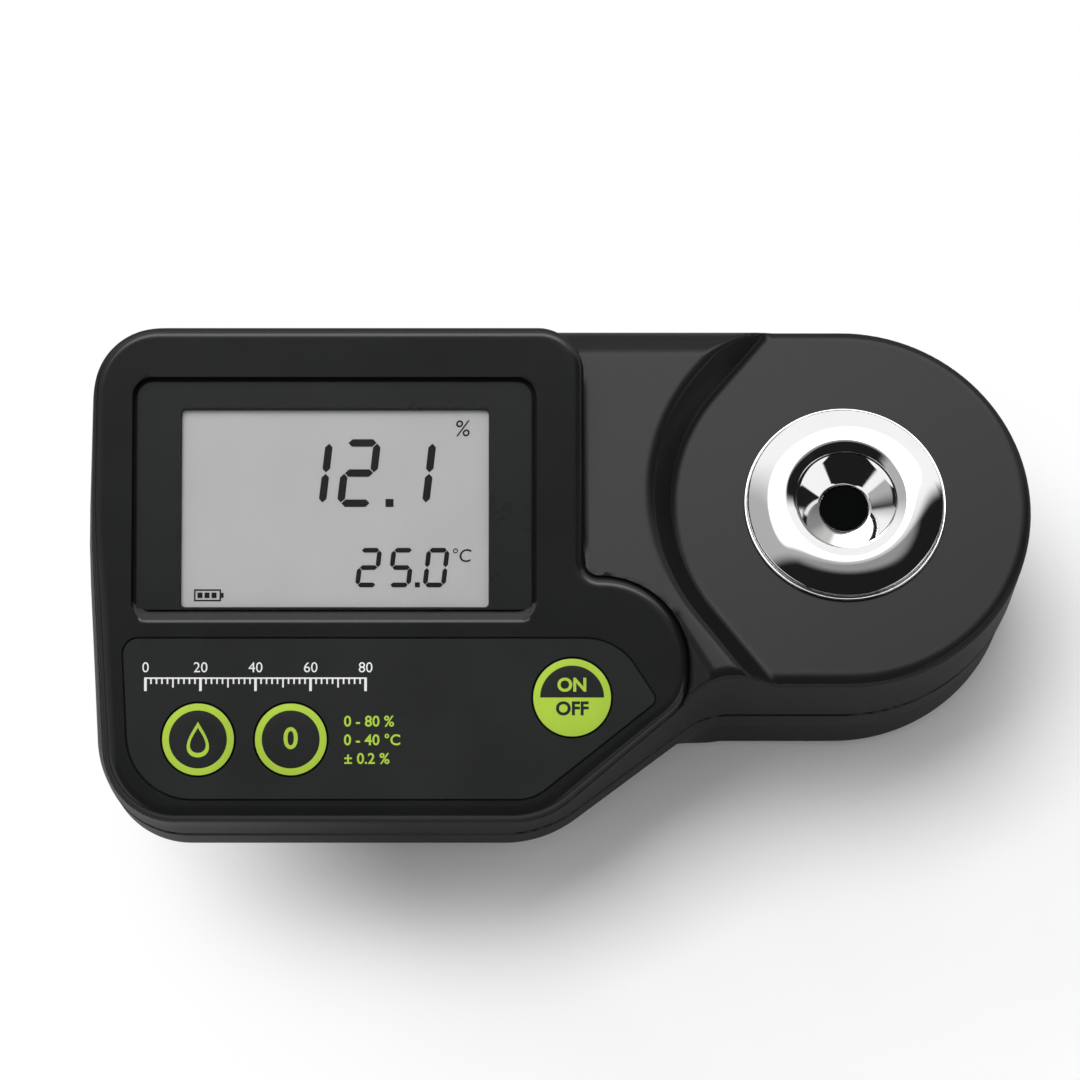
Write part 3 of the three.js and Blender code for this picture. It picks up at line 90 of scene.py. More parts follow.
# A socket that takes part in sums: each operator adds its Math node.
class Flow:
    def __init__(self, graph, socket):
        self.graph = graph
        self.socket = socket

    def other(self, output):
        return Flow(self.graph, self.socket.node.outputs[output])

    def math(self, operation, *others):
        inputs = {index + 1: value for index, value in enumerate(others)}
        return self.graph.node("ShaderNodeMath", {"operation": operation}, {0: self, **inputs})

    def __add__(self, other):
        return self.math("ADD", other)

    def __radd__(self, other):
        return self.math("ADD", other)

    def __sub__(self, other):
        return self.math("SUBTRACT", other)

    def __rsub__(self, other):
        return self.math("MULTIPLY", -1.0).math("ADD", other)

    def __mul__(self, other):
        return self.math("MULTIPLY", other)

    def __rmul__(self, other):
        return self.math("MULTIPLY", other)

    def __truediv__(self, other):
        return self.math("DIVIDE", other)

    def orMore(self, other):
        return self.math("MAXIMUM", other)

    def range(self, low, high, toLow=0.0, toHigh=1.0, kind="SMOOTHSTEP"):
        inputs = {"Value": self, "From Min": low, "From Max": high,
                  "To Min": toLow, "To Max": toHigh}
        return self.graph.node("ShaderNodeMapRange", {"interpolation_type": kind}, inputs)

    def mix(self, low, high):
        settings = {"data_type": "RGBA", "clamp_factor": True}
        return self.graph.node("ShaderNodeMix", settings, {0: self, 6: low, 7: high}, 2)


def rgba(red, green, blue):
    return (red, green, blue, 1.0)


def gray(level):
    return rgba(level, level, level)


def newMaterial(name):
    material = bpy.data.materials.new(name)
    material.use_nodes = True
    tree = material.node_tree
    return material, Graph(tree), tree.nodes["Principled BSDF"]


def noise(graph, scale, detail=2.0, roughness=0.5):
    place = graph.node("ShaderNodeTexCoord", output="Object")
    inputs = {"Vector": place, "Scale": scale, "Detail": detail, "Roughness": roughness}
    return graph.node("ShaderNodeTexNoise", None, inputs)


# What all finishes share. Seen aslant, some lose part of their reflection over the last range:
# painted shade, so that walls come out darker than the lit floor they face would make them.
finish = {
    "slow": {"scale": 45.0, "detail": 4.0, "roughness": 0.6},
    "fine": {"detail": 2.0, "roughness": 0.55},
    "colorRange": (0.35, 0.65),
    "glossRange": (0.3, 0.7),
    "grainGloss": 0.02,
    "aslantShadeEdge": (0.15, 0.58),
}


# A moulded, painted or metal surface: slow change of colour and gloss, and fine grain, whose
# height is in metres.
def surface(name, color, roughness, grain, grainHeight, metallic=0.0, vary=0.06, glossVary=0.06,
            specular=0.5, aslantShade=0.0):
    material, graph, shader = newMaterial(name)
    slow = noise(graph, **finish["slow"])
    fine = noise(graph, grain, **finish["fine"])
    dark = rgba(*(c * (1 - vary) for c in color))
    light = rgba(*(min(1.0, c * (1 + vary)) for c in color))
    gloss = slow.range(*finish["glossRange"], roughness - glossVary, roughness + glossVary,
                       "LINEAR")
    gloss = gloss + fine.range(*finish["glossRange"], -finish["grainGloss"],
                               finish["grainGloss"], "LINEAR")
    skin = {
        "Base Color": slow.range(*finish["colorRange"]).mix(dark, light),
        "Roughness": gloss,
        "Normal": graph.node("ShaderNodeBump", None, {"Height": fine, "Distance": grainHeight}),
    }
    graph.fill(shader, {**skin, "Metallic": metallic, "Specular IOR Level": specular})
    # Painted shade: faces seen aslant trade part of their gloss for a plain copy that reflects
    # nothing.
    if aslantShade:
        plain = graph.node("ShaderNodeBsdfPrincipled", None, {**skin, "Specular IOR Level": 0.0})
        aslant = graph.node("ShaderNodeLayerWeight", None, {"Blend": 0.5}, "Facing")
        share = aslant.range(*finish["aslantShadeEdge"], 0.0, aslantShade)
        glossy = Flow(graph, shader.outputs[0])
        graph.show(graph.node("ShaderNodeMixShader", None, {0: share, 1: glossy, 2: plain}))
    return material


# Each finish: name, colour, roughness, scale of the grain and its height.
looks = {
    "case": surface("caseShell", (0.0115, 0.012, 0.0117), 0.22, 2400.0, 6e-6, glossVary=0.02,
                    specular=0.17, aslantShade=0.75),
    "panel": surface("panelShell", (0.0098, 0.0105, 0.0102), 0.22, 2600.0, 5e-6, glossVary=0.02,
                     specular=0.42, aslantShade=0.85),
    "window": surface("windowBorder", (0.0135, 0.0148, 0.0142), 0.3, 900.0, 2e-6, specular=0.15),
    "overlay": surface("keypadFilm", (0.0165, 0.0178, 0.0172), 0.42, 3600.0, 1e-5, specular=0.2),
    "key": surface("keyFilm", (0.017, 0.0184, 0.0178), 0.4, 3600.0, 8e-6, specular=0.2),
    "lime": surface("limePrint", (0.39, 0.57, 0.055), 0.45, 3000.0, 4e-6, specular=0.2),
    "white": surface("whitePrint", (0.78, 0.79, 0.78), 0.45, 3000.0, 4e-6),
    # Dark print on the keys, also used for the painted shade round the display.
    "inkAndShade": surface("darkPrintAndShade", (0.006, 0.008, 0.006), 0.5, 3000.0, 4e-6),
    "steel": surface("polishedSteel", (0.88, 0.88, 0.875), 0.04, 1500.0, 6e-7, metallic=1.0,
                     vary=0.02, glossVary=0.015),
    "screw": surface("screwSteel", (0.42, 0.42, 0.43), 0.34, 1800.0, 4e-6, metallic=1.0),
    "brass": surface("turnedBrass", (0.58, 0.4, 0.16), 0.32, 1500.0, 3e-6, metallic=1.0),
    "rubber": surface("softRubber", (0.016, 0.016, 0.016), 0.78, 1600.0, 4e-5),
    "inner": surface("innerPlastic", (0.022, 0.022, 0.022), 0.55, 1800.0, 2e-5),
    "board": surface("solderMask", (0.012, 0.11, 0.04), 0.35, 1200.0, 8e-6),
    "chip": surface("blackComponent", (0.012, 0.012, 0.012), 0.5, 2600.0, 1e-5),
    "cream": surface("creamConnector", (0.6, 0.57, 0.46), 0.45, 2000.0, 1e-5),
    "battery": surface("batteryJacket", (0.035, 0.04, 0.046), 0.35, 1500.0, 1e-5, metallic=0.3),
    "redLead": surface("redInsulation", (0.35, 0.015, 0.01), 0.45, 1800.0, 1e-5),
    "blackLead": surface("blackInsulation", (0.012, 0.012, 0.012), 0.45, 1800.0, 1e-5),
    "prism": surface("prismGlass", (0.002, 0.0025, 0.0025), 0.03, 600.0, 2e-7, glossVary=0.01,
                     specular=0.004),
    "lcd": surface("displayGlass", (0.52, 0.525, 0.52), 0.35, 1200.0, 2e-6, vary=0.02),
    "segment": surface("displaySegment", (0.006, 0.0065, 0.0065), 0.5, 1200.0, 2e-6,
                       specular=0.15),
}

# The clear window: mostly see-through, with a faint scuffed gloss that grows when seen aslant.
paneLook = {"tint": 0.985, "scuffScale": 300.0, "scuffDetail": 3.0, "scuff": (0.4, 0.8),
            "gloss": (0.03, 0.07), "power": 4.0, "aslant": 0.8, "straight": 0.035}


def clearPane():
    material, graph, shader = newMaterial("clearWindow")
    see = graph.node("ShaderNodeBsdfTransparent", None, {"Color": gray(paneLook["tint"])})
    scuff = noise(graph, paneLook["scuffScale"], paneLook["scuffDetail"])
    gloss = scuff.range(*paneLook["scuff"], *paneLook["gloss"])
    shine = graph.node("ShaderNodeBsdfGlossy", None, {"Roughness": gloss})
    facing = graph.node("ShaderNodeLayerWeight", None, {"Blend": 0.5}, "Facing")
    share = facing.math("POWER", paneLook["power"]) * paneLook["aslant"] + paneLook["straight"]
    graph.show(graph.node("ShaderNodeMixShader", None, {0: share, 1: see, 2: shine}))
    graph.tree.nodes.remove(shader)
    return material


looks["pane"] = clearPane()
print("materials made")

# Edges that turn by more than this stay sharp, on the pieces made here and on the CAD's own.
sharp = {"made": math.radians(32.0), "cad": math.radians(30)}


def shade(mesh, look, angle):
    mesh.polygons.foreach_set("use_smooth", [True] * len(mesh.polygons))
    mesh.set_sharp_from_angle(angle=angle)
    mesh.materials.append(looks[look])


def finishMesh(name, mesh, look, body):
    mesh.validate()
    shade(mesh, look, sharp["made"])
    piece = bpy.data.objects.new(name, mesh)
    bpy.context.scene.collection.objects.link(piece)
    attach(piece, body)
    return piece


def makePiece(name, solid, look, place, body="case"):
    points, faces = solid
    points = place(np.asarray(points, float)) * toMetres
    mesh = bpy.data.meshes.new(name)
    mesh.from_pydata(points.tolist(), [], [list(map(int, face)) for face in faces])
    return finishMesh(name, mesh, look, body)


# Where points go: up on the panel, sideways, or both for what lies on a key.
def onPanel(points):
    x, up, h = points.T
    y = up * math.cos(tilt) - h * math.sin(tilt)
    z = panelZ + up * math.sin(tilt) + h * math.cos(tilt)
    return np.stack([x, y, z], 1)


def moved(x, y):
    return lambda points: points + np.array([x, y, 0.0])


def onKey(key):
    return lambda points: onPanel(moved(key["x"], key["y"])(points))


# An outline from corners [x, y, radius]; points nearer to each other than closest are joined.
def rounded(corners, stepAngle=3.0, closest=1e-4):
    points = []
    count = len(corners)
    for index, (x, y, radius) in enumerate(corners):
        here = Vector((x, y))
        into = (here - Vector(corners[index - 1][:2])).normalized()
        out = (Vector(corners[(index + 1) % count][:2]) - here).normalized()
        turn = math.atan2(into.x * out.y - into.y * out.x, into.dot(out))
        side = math.copysign(1, turn)
        reach = radius * math.tan(abs(turn) / 2)
        start = here - into * reach
        centre = start + side * radius * Vector((-into.y, into.x))
        steps = max(1, math.ceil(abs(math.degrees(turn)) / stepAngle))
        for k in range(steps + 1):
            angle = math.atan2(into.y, into.x) + turn * k / steps
            normal = Vector((math.sin(angle), -math.cos(angle)))
            points.append(centre + side * radius * normal)
    keep = [i for i in range(len(points)) if (points[i] - points[i - 1]).length > closest]
    return np.array([points[i] for i in keep])


def rectangle(left, low, right, high, radius, rearRadius=None, stepAngle=15):
    rear = radius if rearRadius is None else rearRadius
    return rounded([(left, low, radius), (right, low, radius), (right, high, rear),
                    (left, high, rear)], stepAngle)


def circle(x, y, radius, steps=96):
    angles = np.arange(steps) * 2 * math.pi / steps
    return np.column_stack([x + radius * np.cos(angles), y + radius * np.sin(angles)])


def unit(rows):
    return rows / np.maximum(np.linalg.norm(rows, axis=1, keepdims=True), tiny)


def loopNormals(loop):
    ahead = unit(np.roll(loop, -1, 0) - loop)
    behind = unit(loop - np.roll(loop, 1, 0))
    along = unit(ahead + behind)
    return np.column_stack([along[:, 1], -along[:, 0]])


# A flat sheet with holes: walls along the outlines, with a bevel of edge at the top if it has
# one, and caps filled between them.
def sheetMesh(outer, holes, low, high, edge=0.0):
    loops = [outer] + [hole[::-1] for hole in holes]
    levels = [(low, 0.0), (high - edge, 0.0)] + ([(high, edge)] if edge else [])
    points, faces, starts = [], [], []
    for loop in loops:
        starts.append(len(points))
        n = len(loop)
        for height, inward in levels:
            row = loop - loopNormals(loop) * inward
            points.extend(np.column_stack([row, np.full(n, height)]).tolist())
        for level in range(len(levels) - 1):
            for i in range(n):
                a = starts[-1] + level * n + i
                b = starts[-1] + level * n + (i + 1) % n
                faces.append((a, b, b + n, a + n))
    for level, top in ((0, False), (len(levels) - 1, True)):
        flatLoops, index = [], []
        for start, loop in zip(starts, loops):
            first = start + level * len(loop)
            ids = range(first, first + len(loop))
            index.extend(ids)
            flatLoops.append([Vector(points[i]) for i in ids])
        for corners in tessellate_polygon(flatLoops):
            a, b, c = (np.array(points[index[k]]) for k in corners)
            up = np.cross(b - a, c - a)[2] > 0
            face = tuple(index[k] for k in corners)
            faces.append(face if up == top else face[::-1])
    return points, faces


# Flat solids side by side, one for each shape.
def flatSolids(shapes, low, high):
    points, faces = [], []
    for shape in shapes:
        start, n = len(points), len(shape)
        points.extend([(x, y, low) for x, y in shape] + [(x, y, high) for x, y in shape])
        faces.append(tuple(range(start + n - 1, start - 1, -1)))
        faces.append(tuple(range(start + n, start + 2 * n)))
        for i in range(n):
            a, b = start + i, start + (i + 1) % n
            faces.append((a, b, b + n, a + n))
    return points, faces


def block(left, low, width, height):
    return [(left, low), (left + width, low), (left + width, low + height), (left, low + height)]


# Turns a closed profile [radius, height] about the upright axis.
def latheMesh(profile, steps=96):
    points, rings, faces = [], [], []
    for radius, height in profile:
        start = len(points)
        if radius < tiny:
            rings.append([start] * steps)
            points.append((0.0, 0.0, height))
            continue
        rings.append(list(range(start, start + steps)))
        for k in range(steps):
            angle = 2 * math.pi * k / steps
            points.append((radius * math.cos(angle), radius * math.sin(angle), height))
    for here, after in zip(rings, rings[1:] + rings[:1]):
        for k in range(steps):
            m = (k + 1) % steps
            face = []
            for corner in (here[k], here[m], after[m], after[k]):
                if corner not in face:
                    face.append(corner)
            if len(face) > 2:
                faces.append(face)
    return points, faces


# The moulded shells come from distance fields, which are below zero inside. A Plan is the
# distance to an outline, read from a table.
def polygonDistance(points, x, y):
    nearest = np.full(np.broadcast(x, y).shape, np.inf)
    inside = np.zeros(nearest.shape, bool)
    for a, b in zip(points, np.roll(points, -1, 0)):
        ab = b - a
        px, py = x - a[0], y - a[1]
        t = np.clip((px * ab[0] + py * ab[1]) / (ab @ ab), 0, 1)
        nearest = np.minimum(nearest, (px - ab[0] * t) ** 2 + (py - ab[1] * t) ** 2)
        crosses = (a[1] > y) != (b[1] > y)
        if abs(ab[1]) > tiny:
            inside ^= crosses & (x < a[0] + ab[0] * (y - a[1]) / ab[1])
    return np.where(inside, -1, 1) * np.sqrt(nearest)


class Plan:
    def __init__(self, corners, margin=10.0, step=0.4):
        points = rounded(corners)
        self.low = points.min(0) - margin
        self.step = step
        self.shape = np.ceil((points.max(0) + margin - self.low) / step).astype(int) + 1
        gx = self.low[0] + step * np.arange(self.shape[0])
        gy = self.low[1] + step * np.arange(self.shape[1])
        self.table = polygonDistance(points, gx[:, None], gy[None, :])

    def __call__(self, x, y):
        u = np.clip((x - self.low[0]) / self.step, 0, self.shape[0] - 1.001)
        v = np.clip((y - self.low[1]) / self.step, 0, self.shape[1] - 1.001)
        i, j = u.astype(int), v.astype(int)
        fu, fv = u - i, v - j
        t = self.table
        low = t[i, j] * (1 - fu) + t[i + 1, j] * fu
        high = t[i, j + 1] * (1 - fu) + t[i + 1, j + 1] * fu
        return low * (1 - fv) + high * fv


def roundMax(a, b, radius):
    u = np.maximum(a + radius, 0)
    v = np.maximum(b + radius, 0)
    return np.minimum(-radius, np.maximum(a, b)) + np.hypot(u, v)


def roundMin(a, b, radius):
    return -roundMax(-a, -b, radius)


def smooth(value, low, high):
    t = np.clip((value - low) / (high - low), 0, 1)
    return t * t * (3 - 2 * t)


# A strip between two values, and a step from one value by another over a range.
def strip(value, low, high):
    return np.maximum(low - value, value - high)


def eased(value, start, more, span):
    return start + more * smooth(value, *span)


def cut(body, tool):
    return np.maximum(body, -tool)


# How a field's zero level is found: halvings of each crossing, pulls of each vertex onto the
# surface, how far it may leave its cell, and the reach of the slope's probe.
mesher = {"halvings": 2, "pulls": 14, "slack": 0.1, "probe": 0.02}


def gradient(field, points):
    made = []
    for axis in range(3):
        shift = np.zeros(3)
        shift[axis] = mesher["probe"]
        ahead = field(*(points + shift).T)
        behind = field(*(points - shift).T)
        made.append((ahead - behind) / (2 * mesher["probe"]))
    return np.stack(made, 1)


# Quads on the zero level of a distance field, with corners drawn onto its creases.
def contour(field, low, high, step):
    axes = [np.arange(low[i], high[i] + step, step) for i in range(3)]
    x, y, z = axes[0][:, None, None], axes[1][None, :, None], axes[2][None, None, :]
    d = np.broadcast_to(field(x, y, z), tuple(len(a) for a in axes)).astype(np.float64)
    inside = d < 0
    corners = [(i, j, k) for i in (0, 1) for j in (0, 1) for k in (0, 1)]
    shape = tuple(n - 1 for n in d.shape)
    total = np.zeros(shape, np.int8)
    for i, j, k in corners:
        total += inside[i:i + shape[0], j:j + shape[1], k:k + shape[2]]
    mixed = (total > 0) & (total < 8)
    cells = np.argwhere(mixed)
    index = np.full(shape, -1, np.int64)
    index[mixed] = np.arange(len(cells))
    base = np.stack([axes[i][cells[:, i]] for i in range(3)], 1)
    values = {c: d[cells[:, 0] + c[0], cells[:, 1] + c[1], cells[:, 2] + c[2]] for c in corners}
    owners = []
    crossings = []
    for a in corners:
        for axis in range(3):
            if a[axis]:
                continue
            b = tuple(v + (1 if n == axis else 0) for n, v in enumerate(a))
            hit = np.flatnonzero((values[a] < 0) != (values[b] < 0))
            pa = base[hit] + np.array(a) * step
            pb = base[hit] + np.array(b) * step
            da, db = values[a][hit], values[b][hit]
            for _ in range(mesher["halvings"]):
                t = (da / (da - db))[:, None]
                middle = pa + (pb - pa) * t
                dm = field(*middle.T)
                near = (dm < 0) == (da < 0)
                pa = np.where(near[:, None], middle, pa)
                da = np.where(near, dm, da)
                pb = np.where(near[:, None], pb, middle)
                db = np.where(near, db, dm)
            gap = da - db
            t = np.where(np.abs(gap) > tiny, da / np.where(gap == 0, 1, gap), 0.5)[:, None]
            owners.append(hit)
            crossings.append(pa + (pb - pa) * t)
    owners = np.concatenate(owners)
    crossings = np.concatenate(crossings)
    normals = unit(gradient(field, crossings))
    count = np.bincount(owners, minlength=len(cells))[:, None]

    def average(rows):
        return np.stack([np.bincount(owners, rows[:, i], len(cells)) for i in range(3)], 1) / count

    vertices = average(crossings)
    for _ in range(mesher["pulls"]):
        vertices += average(((crossings - vertices[owners]) * normals).sum(1)[:, None] * normals)
    slack = mesher["slack"]
    vertices = np.clip(vertices, base - slack * step, base + (1 + slack) * step)
    faces = []
    for axis in range(3):
        ahead = tuple(slice(1, None) if n == axis else slice(None) for n in range(3))
        behind = tuple(slice(None, -1) if n == axis else slice(None) for n in range(3))
        edges = np.argwhere(inside[behind] != inside[ahead])
        p, q = [(1, 2), (2, 0), (0, 1)][axis]
        whole = ((edges[:, p] > 0) & (edges[:, q] > 0)
                 & (edges[:, p] < shape[p]) & (edges[:, q] < shape[q]))
        edges = edges[whole]
        around = []
        for dp, dq in ((-1, -1), (0, -1), (0, 0), (-1, 0)):
            cell = edges.copy()
            cell[:, p] += dp
            cell[:, q] += dq
            around.append(index[cell[:, 0], cell[:, 1], cell[:, 2]])
        quads = np.stack(around, 1)
        outward = inside[edges[:, 0], edges[:, 1], edges[:, 2]]
        faces.append(np.where(outward[:, None], quads, quads[:, ::-1]))
    return vertices, np.concatenate(faces)


def contourPiece(name, field, low, high, step, look, place=None, body="case"):
    points, quads = contour(field, low, high, step)
    if place is not None:
        points = place(points)
    mesh = bpy.data.meshes.new(name)
    mesh.vertices.add(len(points))
    mesh.vertices.foreach_set("co", (points * toMetres).astype(np.float32).ravel())
    mesh.loops.add(len(quads) * 4)
    mesh.loops.foreach_set("vertex_index", quads.astype(np.int32).ravel())
    mesh.polygons.add(len(quads))
    mesh.polygons.foreach_set("loop_start", np.arange(0, len(quads) * 4, 4, dtype=np.int32))
    mesh.update(calc_edges=True)
    print(name, len(points), "points")
    return finishMesh(name, mesh, look, body)


# Outlines as corners [x, y, radius]: the case at the seam, the panel, the block that carries the
# panel, and the keypad film. Panel and film are in the panel's own coordinates.
outlines = {
    "seam": [(-92.4, -50.7, 18), (-3.2, -50.7, 24), (29.8, -25.7, 16),
             (96, -25.7, head["radius"]), (96, 50.7, head["radius"]), (-95.4, 50.7, 17),
             (-96, 4, 200)],
    "panel": [(-89.9, -53.9, 14.5), (-3, -53.9, 18), (25.7, -29.85, 10), (25.7, -5.3, 17.7),
              (4.7, -5.3, 3.2), (4.7, 44.6, 9), (-92.9, 44.6, 13), (-93.4, 4, 200)],
    "block": [(-92.4, -50.7, 18), (-3.2, -50.7, 24), (25.7, -28.8, 10), (25.7, -5.3, 17.7),
              (4.7, -5.3, 3.2), (4.7, 50.7, 9), (-95.4, 50.7, 17), (-96, 4, 200)],
    "film": [(-85.2, -49.4, 13), (-5.3, -49.4, 9), (19.4, -29.9, 1.6), (11.4, -17.6, 12),
             (-86.8, -17.6, 3)],
}
keys = {
    "read": {"x": -71.7, "y": -37.6, "radius": 7.2},
    "zero": {"x": -53.3, "y": -37.6, "radius": 7.2},
    "power": {"x": 2.5, "y": -29.3, "radius": 7.8},
}
seamPlan = Plan(outlines["seam"])
panelPlan = Plan(outlines["panel"])
blockPlan = Plan(outlines["block"])
filmPlan = Plan(outlines["film"])

# The curved step from the deck down to the head: an arc whose centre is set off from the head's,
# between two directions in degrees, with straight runs at its ends.
step = {"x": 1.6, "y": 0.3, "radius": 36.4, "front": 218, "rear": 140, "run": 60, "right": 104,
        "corner": 5, "slope": 4.7 / 6, "round": 0.9}


def stepCorners():
    centre = Vector((head["x"] + step["x"], head["y"] + step["y"]))
    half = math.radians((step["front"] - step["rear"]) / 2)
    middle = math.radians((step["front"] + step["rear"]) / 2)
    toCorner = Vector((math.cos(middle), math.sin(middle)))
    corner = centre + toCorner * step["radius"] / math.cos(half)
    front, rear = math.radians(step["front"]), math.radians(step["rear"])
    frontEnd = corner + step["run"] * Vector((-math.sin(front), math.cos(front)))
    rearEnd = corner + step["run"] * Vector((math.sin(rear), -math.cos(rear)))
    right, small = step["right"], step["corner"]
    return [(frontEnd.x, frontEnd.y, small), (right, frontEnd.y, small),
            (right, rearEnd.y, small), (rearEnd.x, rearEnd.y, small),
            (corner.x, corner.y, step["radius"])]


stepPlan = Plan(stepCorners(), margin=14.0)


def toPanel(y, z):
    rise = z - panelZ
    return y * math.cos(tilt) + rise * math.sin(tilt), rise * math.cos(tilt) - y * math.sin(tilt)


# Upper case: the head with its raised deck, the valley between lobe and deck, and the block
# under the panel. Pairs are spans, or a radius and what is added to it over its span.
deck = {"draft": 0.018, "rearSpan": (28, 44), "lean": 0.5, "leanSpan": (40, 52),
        "round": (2.0, 5.5), "headRound": 2.0, "join": (0.02, 0.58), "joinSpan": (45.5, 48.3)}
valley = {"rear": (23.0, -12.3), "front": (30.1, -24.0), "slope": math.radians(42),
          "round": 0.6, "rim": 0.9}
deckLimit = {"left": -3, "front": (-3, -29.2), "frontNormal": (-0.457, -0.89),
             "rear": 50.7, "rearSlope": 0.33, "rearScale": 0.95, "none": -50}
rise = {"front": -50, "rear": 43.95, "power": 2.8, "shoulder": 0.15, "round": 0.3,
        "join": (0.02, 0.68), "joinSpan": (30, 42)}
inside = {"pocket": 0.3, "pocketRound": 0.3, "rimRound": 0.6, "glassX": (-77.3, -12.2),
          "glassUp": (-11.2, 30.3), "floor": -9.9, "keyGap": 1.4, "well": 18.7,
          "flange": 20.3, "flangeLow": 46.8}
grid = 0.6


def valleyHollow(x, y, z, h):
    ax, ay = (b - a for a, b in zip(valley["rear"], valley["front"]))
    length = math.hypot(ax, ay)
    ax, ay = ax / length, ay / length
    dx, dy = x - valley["rear"][0], y - valley["rear"][1]
    steep, flatten = math.tan(valley["slope"]), math.cos(valley["slope"])
    uphill = -dx * ay + dy * ax
    above = ((z - shell["deck"]) - steep * uphill) * flatten
    ending = ((z - shell["deck"]) + steep * (dx * ax + dy * ay)) * flatten
    hollow = roundMax(-above, -(h - shell["plate"]), valley["round"])
    return roundMax(hollow, -ending, valley["round"])


def deckAndHead(x, y, z, h):
    side = seamPlan(x, y) + deck["draft"] * (z - seam["high"])
    rear = smooth(y, *deck["rearSpan"])
    space = stepPlan(x, y) - (z - head["top"]) * step["slope"]
    space = space * math.cos(math.atan(step["slope"]))
    leaning = side + deck["lean"] * rear * smooth(z, *deck["leanSpan"])
    raised = roundMax(leaning, z - shell["deck"], deck["round"][0] + deck["round"][1] * rear)
    raised = roundMax(raised, -space, step["round"])
    low = roundMax(side, z - head["top"], deck["headRound"])
    body = roundMin(low, raised, eased(z, *deck["join"], deck["joinSpan"]))
    body = roundMax(body, -valleyHollow(x, y, z, h), valley["rim"])
    rearLimit = (y - deckLimit["rear"] - deckLimit["rearSlope"] * x) * deckLimit["rearScale"]
    rearLimit = np.where(x < 0, rearLimit, deckLimit["none"])
    frontLimit = (deckLimit["frontNormal"][0] * (x - deckLimit["front"][0])
                  + deckLimit["frontNormal"][1] * (y - deckLimit["front"][1]))
    limit = np.maximum(np.maximum(deckLimit["left"] - x, frontLimit), rearLimit)
    return np.maximum(body, limit)


# The block goes from its outline at the seam to the panel's outline at the plate.
def upperOuter(x, y, z):
    _, h = toPanel(y, z)
    along = np.clip(y, rise["front"], rise["rear"])
    top = panelZ + (shell["plate"] + along * math.sin(tilt)) / math.cos(tilt)
    share = np.clip((z - seam["high"]) / (top - seam["high"]), 0, 1) ** rise["power"]
    up = (y + shell["plate"] * math.sin(tilt)) / math.cos(tilt)
    body = blockPlan(x, y) * (1 - share) + (panelPlan(x, up) - rise["shoulder"]) * share
    body = roundMax(body, h - shell["plate"], rise["round"])
    return roundMin(body, deckAndHead(x, y, z, h), eased(z, *rise["join"], rise["joinSpan"]))


def upperField(x, y, z):
    up, h = toPanel(y, z)
    outer = upperOuter(x, y, z)
    pocket = np.maximum(panelPlan(x, up) - inside["pocket"], shell["plate"] - h)
    outer = roundMax(outer, -pocket, inside["pocketRound"])
    body = roundMax(outer, seam["high"] - z, inside["rimRound"])
    body = cut(body, outer + shell["wall"])
    glass = np.maximum(strip(x, *inside["glassX"]), strip(up, *inside["glassUp"]))
    body = cut(body, np.maximum(glass, inside["floor"] - h))
    for key in keys.values():
        hole = np.hypot(x - key["x"], up - key["y"]) - key["radius"] - inside["keyGap"]
        body = cut(body, np.maximum(hole, inside["floor"] - h))
    reach = np.hypot(x - head["x"], y - head["y"])
    body = cut(body, reach - inside["well"])
    return cut(body, np.maximum(reach - inside["flange"], inside["flangeLow"] - z))


upper = contourPiece("upperShell", upperField, (-98, -53, 25.0), (98, 53, 66), grid, "case")
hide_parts("upper_case")

# Lower case: nearly upright to bandLow, then in towards the bottom, more so left of the head.
lowerSide = {"inset": 0.3, "flare": 5.2, "flareSpan": (25.0, 40.0), "band": 0.3,
             "bandHeight": 8.85, "bandLow": 17, "slope": 15, "bottom": 2, "round": 2.5,
             "rimRound": 0.8, "lip": 1.2, "lipLow": 24.55}
feet = [(-68, 39), (-68, -37), (66, 41), (66, -16)]
footSeat = {"radius": 7.5, "top": 5.5, "hole": 5.3, "depth": 3.0}
screwRing = {"radius": 29.8, "angles": (-29, 49.5)}
screws = [(-82, 39), (-82, -38.6), (24, -20), (14, 41)]
screws += [(head["x"] + screwRing["radius"] * math.cos(math.radians(a)),
            head["y"] + screwRing["radius"] * math.sin(math.radians(a)))
           for a in screwRing["angles"]]
boss = {"radius": 3.4, "hole": 1.8, "headHole": 3.1, "headDepth": 7.0, "inset": 0.5}
bay = {"x": -50.0, "y": 2.0, "radius": 32.0, "wall": 1.8, "low": 2.3, "top": 27.4,
       "room": (5.7, 25.8), "seat": 31.4, "seatDepth": 4.1, "seatRound": 0.3, "throat": 28.6,
       "throatDepth": 5.8, "clear": 34, "none": -50}


def lowerOuter(x, y, z):
    under = eased(head["x"] - x, lowerSide["inset"], lowerSide["flare"], lowerSide["flareSpan"])
    more = under - lowerSide["inset"]
    band = lowerSide["band"] * np.clip((seam["low"] - z) / lowerSide["bandHeight"], 0, 1)
    low = np.clip((lowerSide["bandLow"] - z) / lowerSide["slope"], 0, 1)
    inset = band + more * low
    flatten = 1 / np.hypot(1, more / lowerSide["slope"])
    side = (seamPlan(x, y) + inset) * np.where(z < lowerSide["bandLow"], flatten, 1.0)
    return roundMax(side, lowerSide["bottom"] - z, lowerSide["round"])


